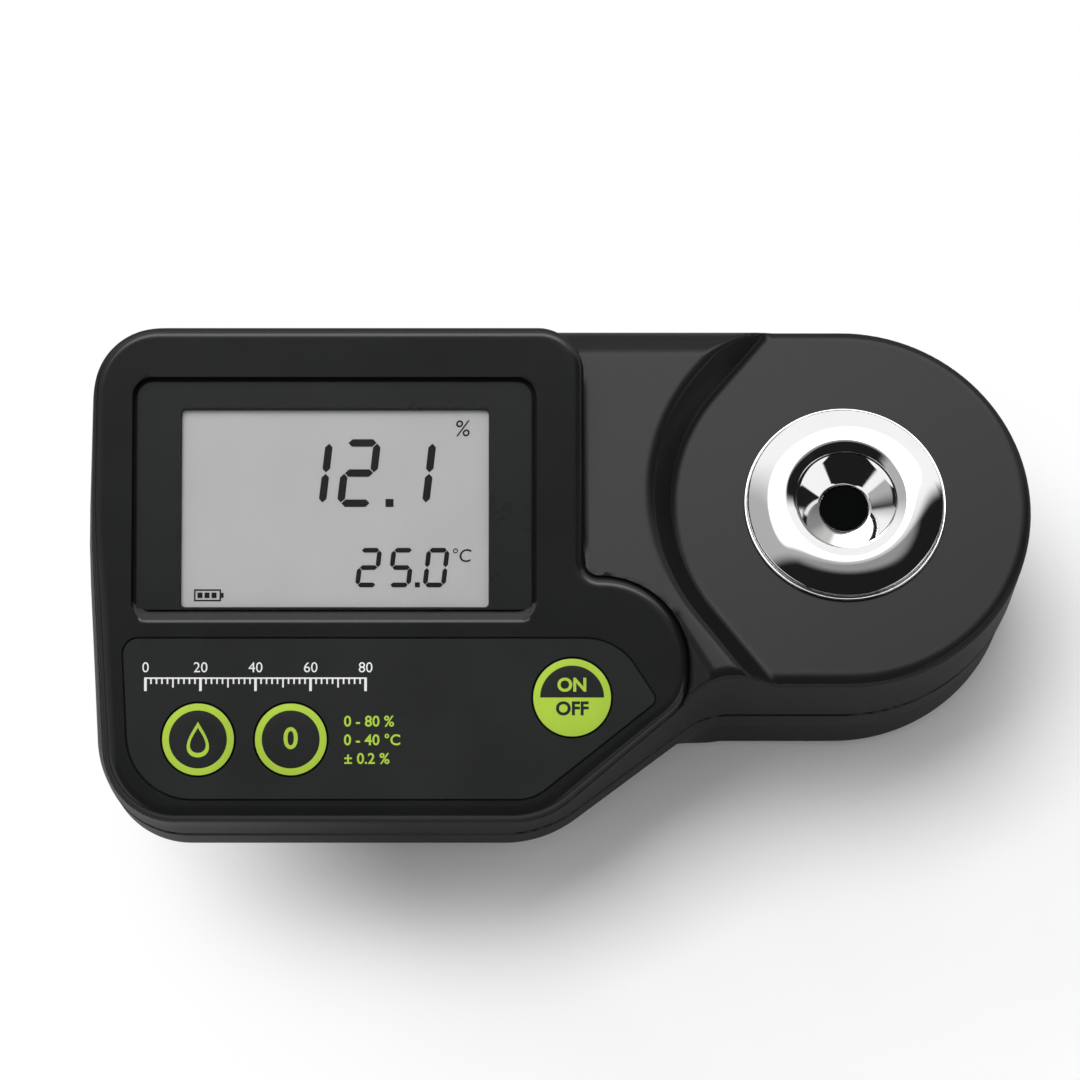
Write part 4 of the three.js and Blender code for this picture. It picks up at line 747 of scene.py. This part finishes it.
def lowerField(x, y, z):
    outer = lowerOuter(x, y, z)
    body = np.maximum(outer, -(outer + shell["wall"]))
    reach = np.hypot(x - bay["x"], y - bay["y"])
    tower = np.maximum(reach - bay["radius"] - bay["wall"], strip(z, bay["low"], bay["top"]))
    body = np.minimum(body, np.maximum(tower, outer))
    for sx, sy in screws:
        pillar = np.hypot(x - sx, y - sy) - boss["radius"]
        body = np.minimum(body, np.maximum(pillar, outer + boss["inset"]))
    for fx, fy in feet:
        away = np.hypot(x - fx, y - fy)
        seat = np.maximum(away - footSeat["radius"], z - footSeat["top"])
        body = np.minimum(body, np.maximum(seat, outer + boss["inset"]))
        body = cut(body, np.maximum(away - footSeat["hole"], z - footSeat["depth"]))
    for sx, sy in screws:
        away = np.hypot(x - sx, y - sy)
        body = cut(body, away - boss["hole"])
        body = cut(body, np.maximum(away - boss["headHole"], z - boss["headDepth"]))
    seat = np.maximum(reach - bay["seat"], z - bay["seatDepth"])
    body = roundMax(body, -seat, bay["seatRound"])
    body = cut(body, np.maximum(reach - bay["throat"], z - bay["throatDepth"]))
    body = cut(body, np.maximum(reach - bay["radius"], strip(z, *bay["room"])))
    body = cut(body, np.maximum(seamPlan(x, y) + lowerSide["lip"], lowerSide["lipLow"] - z))
    bayTop = np.maximum(z - bay["top"], bay["none"])
    rim = roundMax(outer, z - seam["low"], lowerSide["rimRound"])
    return np.maximum(body, np.where(reach < bay["clear"], bayTop, rim))


lower = contourPiece("lowerShell", lowerField, (-98, -53, 1.2), (98, 53, 28.2), grid, "case")
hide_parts("lower_case")

# Front panel: an opening for the window with a ramp at its front, the film's recess, key holes.
bezel = {"round": (2.0, 1.0), "roundSpan": (12, 40), "roundSlant": 0.3, "low": -2.5,
         "openX": (-85.2, -4.6), "openUp": (-12.1, 34.7), "openRound": 4.0, "openEdge": 0.25,
         "rampFront": -14.2, "rampRear": -9, "rampSlope": 0.571, "rampFlatten": 0.868,
         "rampEdge": 0.15, "filmGap": 0.35, "filmLow": -0.85, "keyGap": 0.3, "grid": 0.45}


def panelField(x, up, h):
    frontness = -up - bezel["roundSlant"] * x
    body = roundMax(panelPlan(x, up), h, eased(frontness, *bezel["round"], bezel["roundSpan"]))
    body = np.maximum(body, bezel["low"] - h)
    sides = strip(x, *bezel["openX"])
    opening = roundMax(sides, strip(up, *bezel["openUp"]), bezel["openRound"])
    body = roundMax(body, -opening, bezel["openEdge"])
    rampUp = strip(up, bezel["rampFront"], bezel["openUp"][1])
    ramp = np.maximum(roundMax(sides, rampUp, bezel["openRound"]), up - bezel["rampRear"])
    slope = (h + bezel["rampSlope"] * (up - bezel["rampFront"])) * bezel["rampFlatten"]
    body = roundMax(body, -np.maximum(ramp, -slope), bezel["rampEdge"])
    body = cut(body, np.maximum(filmPlan(x, up) - bezel["filmGap"], bezel["filmLow"] - h))
    for key in keys.values():
        reach = np.hypot(x - key["x"], up - key["y"])
        body = cut(body, reach - key["radius"] - bezel["keyGap"])
    return body


panel = contourPiece("panelBezel", panelField, (-95, -54, -3.1), (28, 46, 0.8), bezel["grid"],
                     "panel", onPanel)
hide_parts("front_panel")
print("shells made")

# Window and display, as left, front, right, rear and corner radius; heights are low and high.
window = {"pane": (-84.3, -11.8, -5.5, 33.8, 0.9, 3.1), "paneHeights": (-1.5, -0.3),
          "paneEdge": 0.15, "view": (-75.75, -11.5, -13.9, 28.6, 1.0),
          "borderHeights": (-2.4, -1.65), "shadeOuter": (-77.2, -12.3, -12.6, 30.0, 1.0),
          "shadeInner": (-75.5, -11.2, -14.15, 28.2, 0.8), "shadeHeights": (-2.75, -2.42)}
display = {"glass": (-77.8, -11.8, -11.8, 31, 0.6), "heights": (-5.2, -3.2), "edge": 0.1,
           "print": (-3.19, -3.14), "wordHeight": -3.15, "wordLean": 0.1}
paneOutline = rectangle(*window["pane"], stepAngle=6)
pane = makePiece("windowPane",
                 sheetMesh(paneOutline, [], *window["paneHeights"], window["paneEdge"]),
                 "pane", onPanel)
makePiece("windowBorder",
          sheetMesh(paneOutline, [rectangle(*window["view"])], *window["borderHeights"]),
          "window", onPanel)
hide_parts("display_window")
# A thin black ring just inside the window's opening, round the display: painted shade, standing in
# for the shadow line where the display sits sunk below the border.
makePiece("displayShadeRing",
          sheetMesh(rectangle(*window["shadeOuter"]), [rectangle(*window["shadeInner"])],
                    *window["shadeHeights"]),
          "inkAndShade", onPanel)
glass = makePiece("displayGlass",
                  sheetMesh(rectangle(*display["glass"], stepAngle=30), [], *display["heights"],
                            display["edge"]),
                  "lcd", onPanel)
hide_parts("lcd_glass")

# The reading: sizes of the two rows of digits, then each sign with its left edge.
digitSizes = {
    "large": {"low": 8.9, "width": 7.4, "height": 13.6, "thick": 1.5, "point": 1.6},
    "small": {"low": -7.2, "width": 4.6, "height": 7.9, "thick": 0.95, "point": 1.0},
}
reading = {
    "large": [("1", -54.2), ("2", -44.6), (".", -34.8), ("1", -33.5)],
    "small": [("2", -40.9), ("5", -34.4), (".", -28.9), ("0", -27.4)],
}
digitLean = math.tan(math.radians(6.5))
segmentRuns = {"0": "abcdef", "1": "bc", "2": "abged", "5": "afgcd"}
hairGap = 0.09


# One digit of bars in a box, each bar with pointed ends and a hair gap to the next.
def digitBars(symbol, left, low, width, height, thick):
    gap = thick * hairGap
    half = thick / 2
    ends = {
        "a": ((half, height - half), (width - half, height - half)),
        "b": ((width - half, height - half), (width - half, height / 2)),
        "c": ((width - half, height / 2), (width - half, half)),
        "d": ((half, half), (width - half, half)),
        "e": ((half, height / 2), (half, half)),
        "f": ((half, height - half), (half, height / 2)),
        "g": ((half, height / 2), (width - half, height / 2)),
    }
    bars = []
    for run in segmentRuns[symbol]:
        a, b = Vector(ends[run][0]), Vector(ends[run][1])
        along = (b - a).normalized()
        across = Vector((-along.y, along.x))
        a, b = a + along * gap, b - along * gap
        bar = [a, a + (along - across) * half, b - (along + across) * half, b,
               b + (across - along) * half, a + (along + across) * half]
        bars.append([(left + p.x + p.y * digitLean, low + p.y) for p in bar])
    return bars


bars = []
for row, size in digitSizes.items():
    for sign, left in reading[row]:
        if sign == ".":
            bars.append(block(left, size["low"], size["point"], size["point"]))
        else:
            bars += digitBars(sign, left, size["low"], size["width"], size["height"],
                              size["thick"])
makePiece("displayDigits", flatSolids(bars, *display["print"]), "segment",
          onPanel)
print("display made")

lettering = {"thick": 0.015, "resolution": 4, "merge": 0.0005}


# A printed word that lies on the panel.
def words(name, text, x, y, size, h, look, body="case", lean=0.0, bold=0.0, align="CENTER"):
    curve = bpy.data.curves.new(name, "FONT")
    curve.body = text
    curve.size = size
    curve.align_x = align
    curve.align_y = "CENTER"
    curve.extrude = lettering["thick"]
    curve.shear = lean
    curve.offset = bold
    curve.resolution_u = lettering["resolution"]
    made = bpy.data.objects.new(name, curve)
    mesh = bpy.data.meshes.new_from_object(made)
    joined = bmesh.new()
    joined.from_mesh(mesh)
    bmesh.ops.remove_doubles(joined, verts=joined.verts, dist=lettering["merge"])
    joined.to_mesh(mesh)
    joined.free()
    points = np.array([v.co[:] for v in mesh.vertices]) + np.array([x, y, h])
    points = onPanel(points) * toMetres
    mesh.vertices.foreach_set("co", points.astype(np.float32).ravel())
    mesh.update()
    bpy.data.objects.remove(made)
    return finishMesh(name, mesh, look, body)


for name, text, x, y, size in (("displayUnit", "°C", -19.7, -1.0, 3.7),
                               ("displayPercent", "%", -19.5, 24.5, 4.6)):
    words(name, text, x, y, size, display["wordHeight"], "segment",
          lean=display["wordLean"])

# Battery mark: an outline of four lines, its contact, and three cells.
mark = {"x": -73.0, "y": -10.0, "wide": 5.4, "tall": 2.4, "line": 0.3, "side": 0.32,
        "contact": (0.02, 0.7, 0.5, 1.0), "cells": 3, "cell": (0.7, 0.65, 1.0, 1.1),
        "pitch": 1.4}


def batteryMark():
    left, low, line, side = mark["x"], mark["y"], mark["line"], mark["side"]
    wide, tall = mark["wide"], mark["tall"]
    cx, cy, contactWide, contactTall = mark["contact"]
    px, py, cellWide, cellTall = mark["cell"]
    parts = [block(left, low, wide, line),
             block(left, low + tall - line, wide, line),
             block(left, low + side, line, tall - 2 * side),
             block(left + wide - line, low + side, line, tall - 2 * side),
             block(left + wide + cx, low + cy, contactWide, contactTall)]
    parts += [block(left + px + mark["pitch"] * i, low + py, cellWide, cellTall)
              for i in range(mark["cells"])]
    return parts


makePiece("batteryMark", flatSolids(batteryMark(), *display["print"]), "segment",
          onPanel)

# Keypad film, with a hole round each key.
film = {"heights": (-0.55, -0.05), "edge": 0.06, "keyGap": 0.3, "printHeight": -0.04}
filmHoles = [circle(k["x"], k["y"], k["radius"] + film["keyGap"]) for k in keys.values()]
filmPiece = makePiece("keypadFilm",
                      sheetMesh(rounded(outlines["film"], 4), filmHoles, *film["heights"],
                                film["edge"]),
                      "overlay", onPanel)
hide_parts("keypad_overlay")

# Keys: a crowned cap with a stem and a flange below, and a printed ring. Each print is a thin
# skin on the crown, as its height over the crown at the top and underneath.
cap = {"crown": 0.25, "fall": 0.35, "power": 6, "steps": 16, "stem": 2.4, "stemLow": -4.65,
       "flange": 1.1, "flangeLow": -3.4, "flangeTop": -2.8}
ringPrint = {"outer": 0.1, "inner": 1.45, "steps": 8, "heights": (0.03, 0.003)}
halfPrint = {"outer": 0.1, "inner": 0.05, "steps": 12, "heights": (0.034, 0.002), "turns": 64}


def crownHeight(share):
    return cap["crown"] - cap["fall"] * share ** cap["power"]


def crownSkin(key, outer, inner, style):
    radii = np.linspace(outer, inner, style["steps"])
    heights = [crownHeight(r / key["radius"]) for r in radii]
    top, under = style["heights"]
    loop = [(r, h + top) for r, h in zip(radii, heights)]
    return loop + [(r, h + under) for r, h in zip(radii[::-1], heights[::-1])]


def capProfile(radius):
    wide = radius + cap["flange"]
    profile = [(0, cap["stemLow"]), (cap["stem"], cap["stemLow"]),
               (cap["stem"], cap["flangeLow"]), (wide, cap["flangeLow"]),
               (wide, cap["flangeTop"]), (radius, cap["flangeTop"])]
    shares = [1 - i / cap["steps"] for i in range(cap["steps"] + 1)]
    return profile + [(radius * share, crownHeight(share)) for share in shares]


for name, key in keys.items():
    body, radius = f"{name}_body", key["radius"]
    piece = makePiece(f"{name}Cap", latheMesh(capProfile(radius)), "key",
                      onKey(key), body)
    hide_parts(f"{name}_key")
    skin = crownSkin(key, radius - ringPrint["outer"], radius - ringPrint["inner"], ringPrint)
    makePiece(f"{name}Ring", latheMesh(skin), "lime", onKey(key), body)


# The front half of a crown, printed: half a turn of its skin, closed at both ends.
def halfSkin(key):
    loop = crownSkin(key, key["radius"] - halfPrint["outer"], halfPrint["inner"], halfPrint)
    count, turns = len(loop), halfPrint["turns"]
    points, faces = [], []
    for k in range(turns + 1):
        angle = math.pi + math.pi * k / turns
        points += [(r * math.cos(angle), r * math.sin(angle), h) for r, h in loop]
    for k in range(turns):
        for i in range(count):
            a, b = k * count + i, k * count + (i + 1) % count
            faces.append((a, a + count, b + count, b))
    faces.append(tuple(range(count)))
    faces.append(tuple(range(turns * count + count - 1, turns * count - 1, -1)))
    return points, faces


drop = {"size": 3.1, "innerSize": 2.2, "innerShift": -0.15, "heights": (0.246, 0.275),
        "steps": 48, "power": 1.4, "tall": 1.15}


def dropLoop(x, y, size):
    points = []
    for k in range(drop["steps"]):
        t = 2 * math.pi * k / drop["steps"]
        points.append((x + size * math.sin(t) * math.sin(t / 2) ** drop["power"],
                       y + size * drop["tall"] * math.cos(t)))
    return np.array(points)[::-1]


# Words on the keys: text, key, shift to the rear, size, height, finish and weight.
keyWords = {
    "onWord": ("ON", "power", 2.4, 3.7, 0.27, "lime", 0.12),
    "offWord": ("OFF", "power", -2.3, 3.7, 0.3, "inkAndShade", 0.12),
    "zeroDigit": ("0", "zero", 0.0, 6.0, 0.26, "lime", 0.1),
}
makePiece("powerHalf", halfSkin(keys["power"]), "lime", onKey(keys["power"]),
          "power_body")
for name, (text, owner, shift, size, h, look, bold) in keyWords.items():
    words(name, text, keys[owner]["x"], keys[owner]["y"] + shift, size, h, look,
          f"{owner}_body", bold=bold)
read = keys["read"]
dropInner = dropLoop(read["x"], read["y"] + drop["innerShift"], drop["innerSize"])
makePiece("readDrop",
          sheetMesh(dropLoop(read["x"], read["y"], drop["size"]), [dropInner], *drop["heights"]),
          "lime", onPanel, "read_body")
print("keys made")

# A plain scale printed on the film: long, middle and short ticks with half their widths, a line,
# and its numbers; then three rows of plain ranges.
scale = {"left": -82.2, "right": -38.5, "low": -25.6, "count": 41, "long": (2.4, 0.26),
         "middle": (1.7, 0.16), "short": (1.0, 0.16), "line": 0.3, "heights": (-0.052, -0.035),
         "numbers": 5, "numberStep": 20, "numberSize": 2.9, "numberShift": 2.2}
ranges = {"x": -42.8, "size": 3.0, "bold": 0.05,
          "rows": (("0 - 80 %", -34.1), ("0 - 40 °C", -37.8), ("± 0.2 %", -41.5))}


def alongScale(i, count):
    return scale["left"] + (scale["right"] - scale["left"]) * i / (count - 1)


ticks = []
for i in range(scale["count"]):
    kind = "long" if i % 10 == 0 else "middle" if i % 5 == 0 else "short"
    tall, half = scale[kind]
    ticks.append(block(alongScale(i, scale["count"]) - half, scale["low"] - tall, half * 2, tall))
half = scale["long"][1]
ticks.append(block(scale["left"] - half, scale["low"],
                   scale["right"] - scale["left"] + 2 * half, scale["line"]))
makePiece("scaleTicks", flatSolids(ticks, *scale["heights"]), "white", onPanel)
for i in range(scale["numbers"]):
    words(f"scaleNumber{i + 1}", str(i * scale["numberStep"]), alongScale(i, scale["numbers"]),
          scale["low"] + scale["numberShift"], scale["numberSize"], film["printHeight"], "white")
for i, (text, y) in enumerate(ranges["rows"]):
    words(f"rangeRow{i + 1}", text, ranges["x"], y, ranges["size"], film["printHeight"], "lime",
          align="LEFT", bold=ranges["bold"])
print("prints made")

# Well ring, as places [radius, height]: a flange with a round bead, an upright wall with a
# rounding, a dome, its roll-over, a shallow cone, a small step, and the funnel to the prism.
crest = head["top"] + 4.0
well = {
    "flange": [(18.4, 40.5), (18.4, 48.3), (20.5, 48.3), (20.5, 48.55)],
    "bead": (20.2, 48.55), "beadRadius": 0.3, "wallLow": (19.85, 48.95),
    "rim": (19.25, crest - 2.57), "rimRadius": 0.6, "rimTurn": 59,
    "domeEdge": 19.56, "domeCrest": 12.7, "domeFall": 0.3,
    "rollRadius": 2.0, "rollTurn": 22,
    "cone": (11.95, crest - 0.146), "coneRun": (1.6, 0.646),
    "step": [(10.26, crest - 0.9), (10.2, 50.3)],
    "funnel": (10.12, 50.2), "funnelRun": (5.27, 4.0),
    "bottom": [(4.8, 46.1), (4.95, 45.95), (5.5, 45.9), (5.5, 43.6), (15.5, 43.6), (15.5, 40.5)],
    "steps": 192,
}


def arc(centre, radius, start, turn, first=1, steps=8):
    angles = [math.radians(start + turn * i / steps) for i in range(first, steps + 1)]
    return [(centre[0] + radius * math.cos(a), centre[1] + radius * math.sin(a)) for a in angles]


def descent(place, run, first, steps):
    return [(place[0] - run[0] * i / steps, place[1] - run[1] * i / steps)
            for i in range(first, steps + 1)]


def wellProfile():
    span = well["domeEdge"] - well["domeCrest"]
    dome = [span * (1 - i / 24) for i in range(1, 25)]
    return [
        *well["flange"], *arc(well["bead"], well["beadRadius"], 0, 180), well["wallLow"],
        *arc(well["rim"], well["rimRadius"], 0, well["rimTurn"], 0),
        *((well["domeCrest"] + d, crest - well["domeFall"] * d ** 2 / span) for d in dome),
        *arc((well["domeCrest"], crest - well["rollRadius"]), well["rollRadius"], 90,
             well["rollTurn"]),
        *descent(well["cone"], well["coneRun"], 1, 4), *well["step"],
        *descent(well["funnel"], well["funnelRun"], 0, 8), *well["bottom"],
    ]


ring = makePiece("wellRing", latheMesh(wellProfile(), well["steps"]), "steel",
                 moved(head["x"], head["y"]))
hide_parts("well_ring")
print("well made")

# Battery cover: a plate with a rim inside the bay, three lugs, a coin slot and grip grooves.
cover = {"radius": 31.0, "low": 2.3, "high": 3.8, "edge": 0.6, "rim": 28.2, "rimWidth": 2.0,
         "sink": 0.3, "top": 7.7, "lugLow": 6.1, "lugReach": 30.2, "lugRoot": 0.4,
         "lugHalf": math.radians(11), "lugAside": 1.5, "grid": 0.3}
coinSlot = {"half": 11.8, "radius": 1.2, "deep": 1.2, "edge": 0.25}
grip = {"offset": 17.0, "count": 5, "pitch": 1.5, "half": 4.5, "radius": 0.4, "deep": 0.8,
        "edge": 0.12}


def slotShape(x, y, z, slot):
    outline = np.hypot(np.maximum(np.abs(x) - slot["half"], 0), y) - slot["radius"]
    return np.maximum(outline, z - cover["low"] - slot["deep"])


def coverField(x, y, z):
    r = np.hypot(x, y)
    body = roundMax(r - cover["radius"], cover["low"] - z, cover["edge"])
    body = np.maximum(body, z - cover["high"])
    rim = np.maximum(strip(r, cover["rim"] - cover["rimWidth"], cover["rim"]),
                     strip(z, cover["high"] - cover["sink"], cover["top"]))
    body = np.minimum(body, rim)
    third = 2 * math.pi / 3
    around = np.abs((np.arctan2(y, x) + math.pi / 3) % third - math.pi / 3)
    lug = np.maximum(strip(r, cover["rim"] - cover["lugRoot"], cover["lugReach"]),
                     strip(z, cover["lugLow"], cover["top"]))
    aside = r * np.sin(np.minimum(around - cover["lugHalf"], cover["lugAside"]))
    body = np.minimum(body, np.maximum(lug, aside))
    body = roundMax(body, -slotShape(x, y, z, coinSlot), coinSlot["edge"])
    for side in (-1, 1):
        for i in range(grip["count"]):
            middle = side * grip["offset"] + (i - grip["count"] // 2) * grip["pitch"]
            body = roundMax(body, -slotShape(x, y - middle, z, grip), grip["edge"])
    return body


lid = contourPiece("coverPlate", coverField, (-32, -32, 1.7), (32, 32, 8.3), cover["grid"],
                   "case", moved(bay["x"], bay["y"]), "cover_body")
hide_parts("battery_cover")

footProfile = [(0, 0.25), (3.4, 0.25), (3.7, 0.0), (4.4, 0.0), (4.75, 0.12), (4.95, 0.4),
               (5.0, 0.8), (5.0, 2.7), (0, 2.7)]
for i, (x, y) in enumerate(feet):
    foot = makePiece(f"rubberFoot{i + 1}", latheMesh(footProfile, 64), "rubber",
                     moved(x, y))
    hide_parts(f"foot_{i + 1}")

# Case screws, head down: a rounded rim and a tapering cross recess.
screwShape = {"head": 2.75, "headTall": 2.0, "edge": 0.5, "shank": 1.45, "overlap": 1,
              "deep": 1.3, "arm": 0.36, "armTaper": 0.12, "armLong": 1.55, "longTaper": 0.3,
              "reach": 3.2, "margin": 0.4, "grid": 0.2}


def crossScrew(low, high):
    def field(x, y, z):
        r = np.hypot(x, y)
        up = z - low
        body = roundMax(r - screwShape["head"], low - z, screwShape["edge"])
        body = np.maximum(body, up - screwShape["headTall"])
        shank = strip(z, low + screwShape["overlap"], high)
        body = np.minimum(body, np.maximum(r - screwShape["shank"], shank))
        depth = up - screwShape["deep"]
        arm = screwShape["arm"] - screwShape["armTaper"] * up
        ends = [np.abs(v) - screwShape["armLong"] - depth * screwShape["longTaper"]
                for v in (x, y)]
        cross = np.minimum(np.maximum(np.abs(x) - arm, ends[1]),
                           np.maximum(np.abs(y) - arm, ends[0]))
        return cut(body, np.maximum(cross, depth))
    return field


for i, (x, y) in enumerate(screws):
    low, high = (corner[2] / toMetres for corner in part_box(f"case_screw_{i + 1}"))
    reach, margin = screwShape["reach"], screwShape["margin"]
    screw = contourPiece(f"crossScrew{i + 1}", crossScrew(low, high),
                         (-reach, -reach, low - margin), (reach, reach, high + margin),
                         screwShape["grid"], "screw", moved(x, y))
    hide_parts(f"case_screw_{i + 1}")
print("underside made")

# Nodes that keep their CAD shape take the finish of their record's slot.
slotLooks = {
    "soft_rubber": "rubber", "screw_steel": "screw", "nut_brass": "brass",
    "inner_plastic": "inner", "board_green": "board", "component_black": "chip",
    "connector_cream": "cream", "battery_shell": "battery", "lead_red": "redLead",
    "lead_black": "blackLead", "optic_glass": "prism", "polished_steel": "steel",
    "case_plastic": "case", "panel_plastic": "panel", "overlay_film": "overlay",
    "key_plastic": "key", "window_plastic": "window", "display_glass": "lcd",
}
for row in frame["record"]["subparts"]:
    mesh = nodes[row["node"]].data
    mesh.materials.clear()
    shade(mesh, slotLooks[row["material_slot"]], sharp["cad"])
print("materials set on nodes")

# Floor: pale, with the object's shadow, and plain white further out for whatever looks at it.
# Its lengths are in metres; the white starts on an ellipse about centre, and where it is mixed in
# it is painted light over the floor, so the object's shadow fades out sooner than its light would
# make it.
floorLook = {"reach": 6.0, "roughness": 0.9, "mottle": 30.0, "mottleRange": (0.4, 0.6),
             "shades": (0.955, 0.965), "centre": (0.04, -0.035), "radii": (0.115, 0.088),
             "whiteSpan": (0.62, 1.22)}


# Light Path's answer to three questions: seen by the camera, in a mirror, or through glass.
def rays(graph):
    camera = graph.node("ShaderNodeLightPath", output="Is Camera Ray")
    return camera, camera.other("Is Glossy Ray"), camera.other("Is Transmission Ray")


def axesOf(graph, output):
    place = graph.node("ShaderNodeTexCoord", output=output)
    x = graph.node("ShaderNodeSeparateXYZ", None, {0: place})
    return x, x.other(1), x.other(2)


def paleFloor():
    material, graph, shader = newMaterial("paleFloor")
    low, high = (gray(level) for level in floorLook["shades"])
    mottle = noise(graph, floorLook["mottle"]).range(*floorLook["mottleRange"])
    graph.fill(shader, {"Base Color": mottle.mix(low, high), "Roughness": floorLook["roughness"]})
    x, y, _ = axesOf(graph, "Object")
    across = (x - floorLook["centre"][0]) / floorLook["radii"][0]
    deep = (y - floorLook["centre"][1]) / floorLook["radii"][1]
    away = (across * across + deep * deep).math("SQRT")
    camera, mirror, through = rays(graph)
    # Painted light: white mixed over the lit floor, thinning the object's shadow out towards the
    # ellipse.
    share = away.range(*floorLook["whiteSpan"]) * camera.orMore(mirror).orMore(through)
    white = graph.node("ShaderNodeEmission", None, {"Color": gray(1), "Strength": 1.0})
    lit = Flow(graph, shader.outputs[0])
    graph.show(graph.node("ShaderNodeMixShader", None, {0: share, 1: lit, 2: white}))
    return material


reach = floorLook["reach"]
floorMesh = bpy.data.meshes.new("floor")
floorMesh.from_pydata([(-reach, -reach, 0), (reach, -reach, 0), (reach, reach, 0),
                       (-reach, reach, 0)], [], [(0, 1, 2, 3)])
floorMesh.materials.append(paleFloor())
floor = bpy.data.objects.new("floor", floorMesh)
bpy.context.scene.collection.objects.link(floor)

# World: white for the camera and plain for the lighting. Mirrors see a dim room with a bright
# card up at the rear left, a faint one overhead, a pale sky behind, and a field at either side.
# Spans are of the direction's x, y and z, or of slant, which is y less half of x.
room = {"dim": 0.012, "fill": 0.52}
softCard = {"level": 4.8, "front": (0.05, 0.38), "rear": (0.42, 0.9), "high": (0.5, 0.8),
            "left": (-0.5, -0.28)}
overCard = {"level": 0.3, "rear": (-0.28, -0.06), "high": (0.8, 0.95)}
sky = {"high": (0.3, 0.45), "rear": (0.35, 0.5), "low": (-0.1, 0.03), "front": (-0.1, 0.1),
       "level": (0.45, 0.55), "turn": 0.35, "levelSpan": (0.05, 0.5)}
sideCard = {"x": 0.857, "y": 0.515, "span": (0.825, 0.845), "high": (0.2, 0.26)}


def studio(graph):
    x, y, z = axesOf(graph, "Generated")
    slant = y - 0.5 * x
    card = softCard["level"] * slant.range(*softCard["front"])
    card = card * (1.0 - slant.range(*softCard["rear"])) * z.range(*softCard["high"])
    card = card * x.range(*softCard["left"])
    over = overCard["level"] * y.range(*overCard["rear"]) * z.range(*overCard["high"])
    openSky = z.range(*sky["high"]).orMore(y.range(*sky["rear"]) * z.range(*sky["low"]))
    brighter = (y + sky["turn"] * x).range(*sky["levelSpan"])
    pale = slant.range(*sky["front"]) * openSky * (sky["level"][0] + sky["level"][1] * brighter)
    sides = sideCard["x"] * x.math("ABSOLUTE") - sideCard["y"] * y
    sides = sides.range(*sideCard["span"]) * z.range(*sideCard["high"])
    glow = room["dim"] + card.orMore(over).orMore(pale).orMore(sides)
    camera, mirror, through = rays(graph)
    shine = mirror.orMore(through)
    return (1.0 - camera) * (shine * glow + (1.0 - shine) * room["fill"]) + camera


world = bpy.data.worlds.new("studio")
bpy.context.scene.world = world
world.use_nodes = True
graph = Graph(world.node_tree)
graph.fill(world.node_tree.nodes["Background"], {"Color": gray(1), "Strength": studio(graph)})

# One softbox over the rear left, and the camera, whose lens and shift are in the photo's pixels.
softbox = {"place": (-0.25, 0.42, 1.3), "target": (0, 0, 0), "size": (1.0, 0.7), "power": 12.5}
view = {"target": (-0.0005, -0.0008, 0.03), "distance": 0.7, "elevation": 72.8, "frame": 1080,
        "focal": 3392, "shift": (-17, 53.7), "sensor": 36, "clip": (0.05, 20)}

light = bpy.data.lights.new("overhead", "AREA")
light.shape = "RECTANGLE"
light.size, light.size_y = softbox["size"]
light.energy = softbox["power"]
lamp = bpy.data.objects.new("overhead", light)
bpy.context.scene.collection.objects.link(lamp)
lamp.location = softbox["place"]
aim = Vector(softbox["target"]) - Vector(softbox["place"])
lamp.rotation_euler = aim.to_track_quat("-Z", "Y").to_euler()
lamp.visible_glossy = False

cameraData = bpy.data.cameras.new("camera")
camera = bpy.data.objects.new("camera", cameraData)
bpy.context.scene.collection.objects.link(camera)
bpy.context.scene.camera = camera
elevation = math.radians(view["elevation"])
back = Vector((0, -math.cos(elevation), math.sin(elevation)))
camera.location = Vector(view["target"]) + view["distance"] * back
camera.rotation_euler = (math.pi / 2 - elevation, 0, 0)
cameraData.sensor_width = view["sensor"]
cameraData.lens = view["focal"] / view["frame"] * view["sensor"]
cameraData.shift_x = view["shift"][0] / view["frame"]
cameraData.shift_y = view["shift"][1] / view["frame"]
cameraData.clip_start, cameraData.clip_end = view["clip"]
bpy.context.scene.view_settings.view_transform = "Standard"
print("floor, light and camera made")
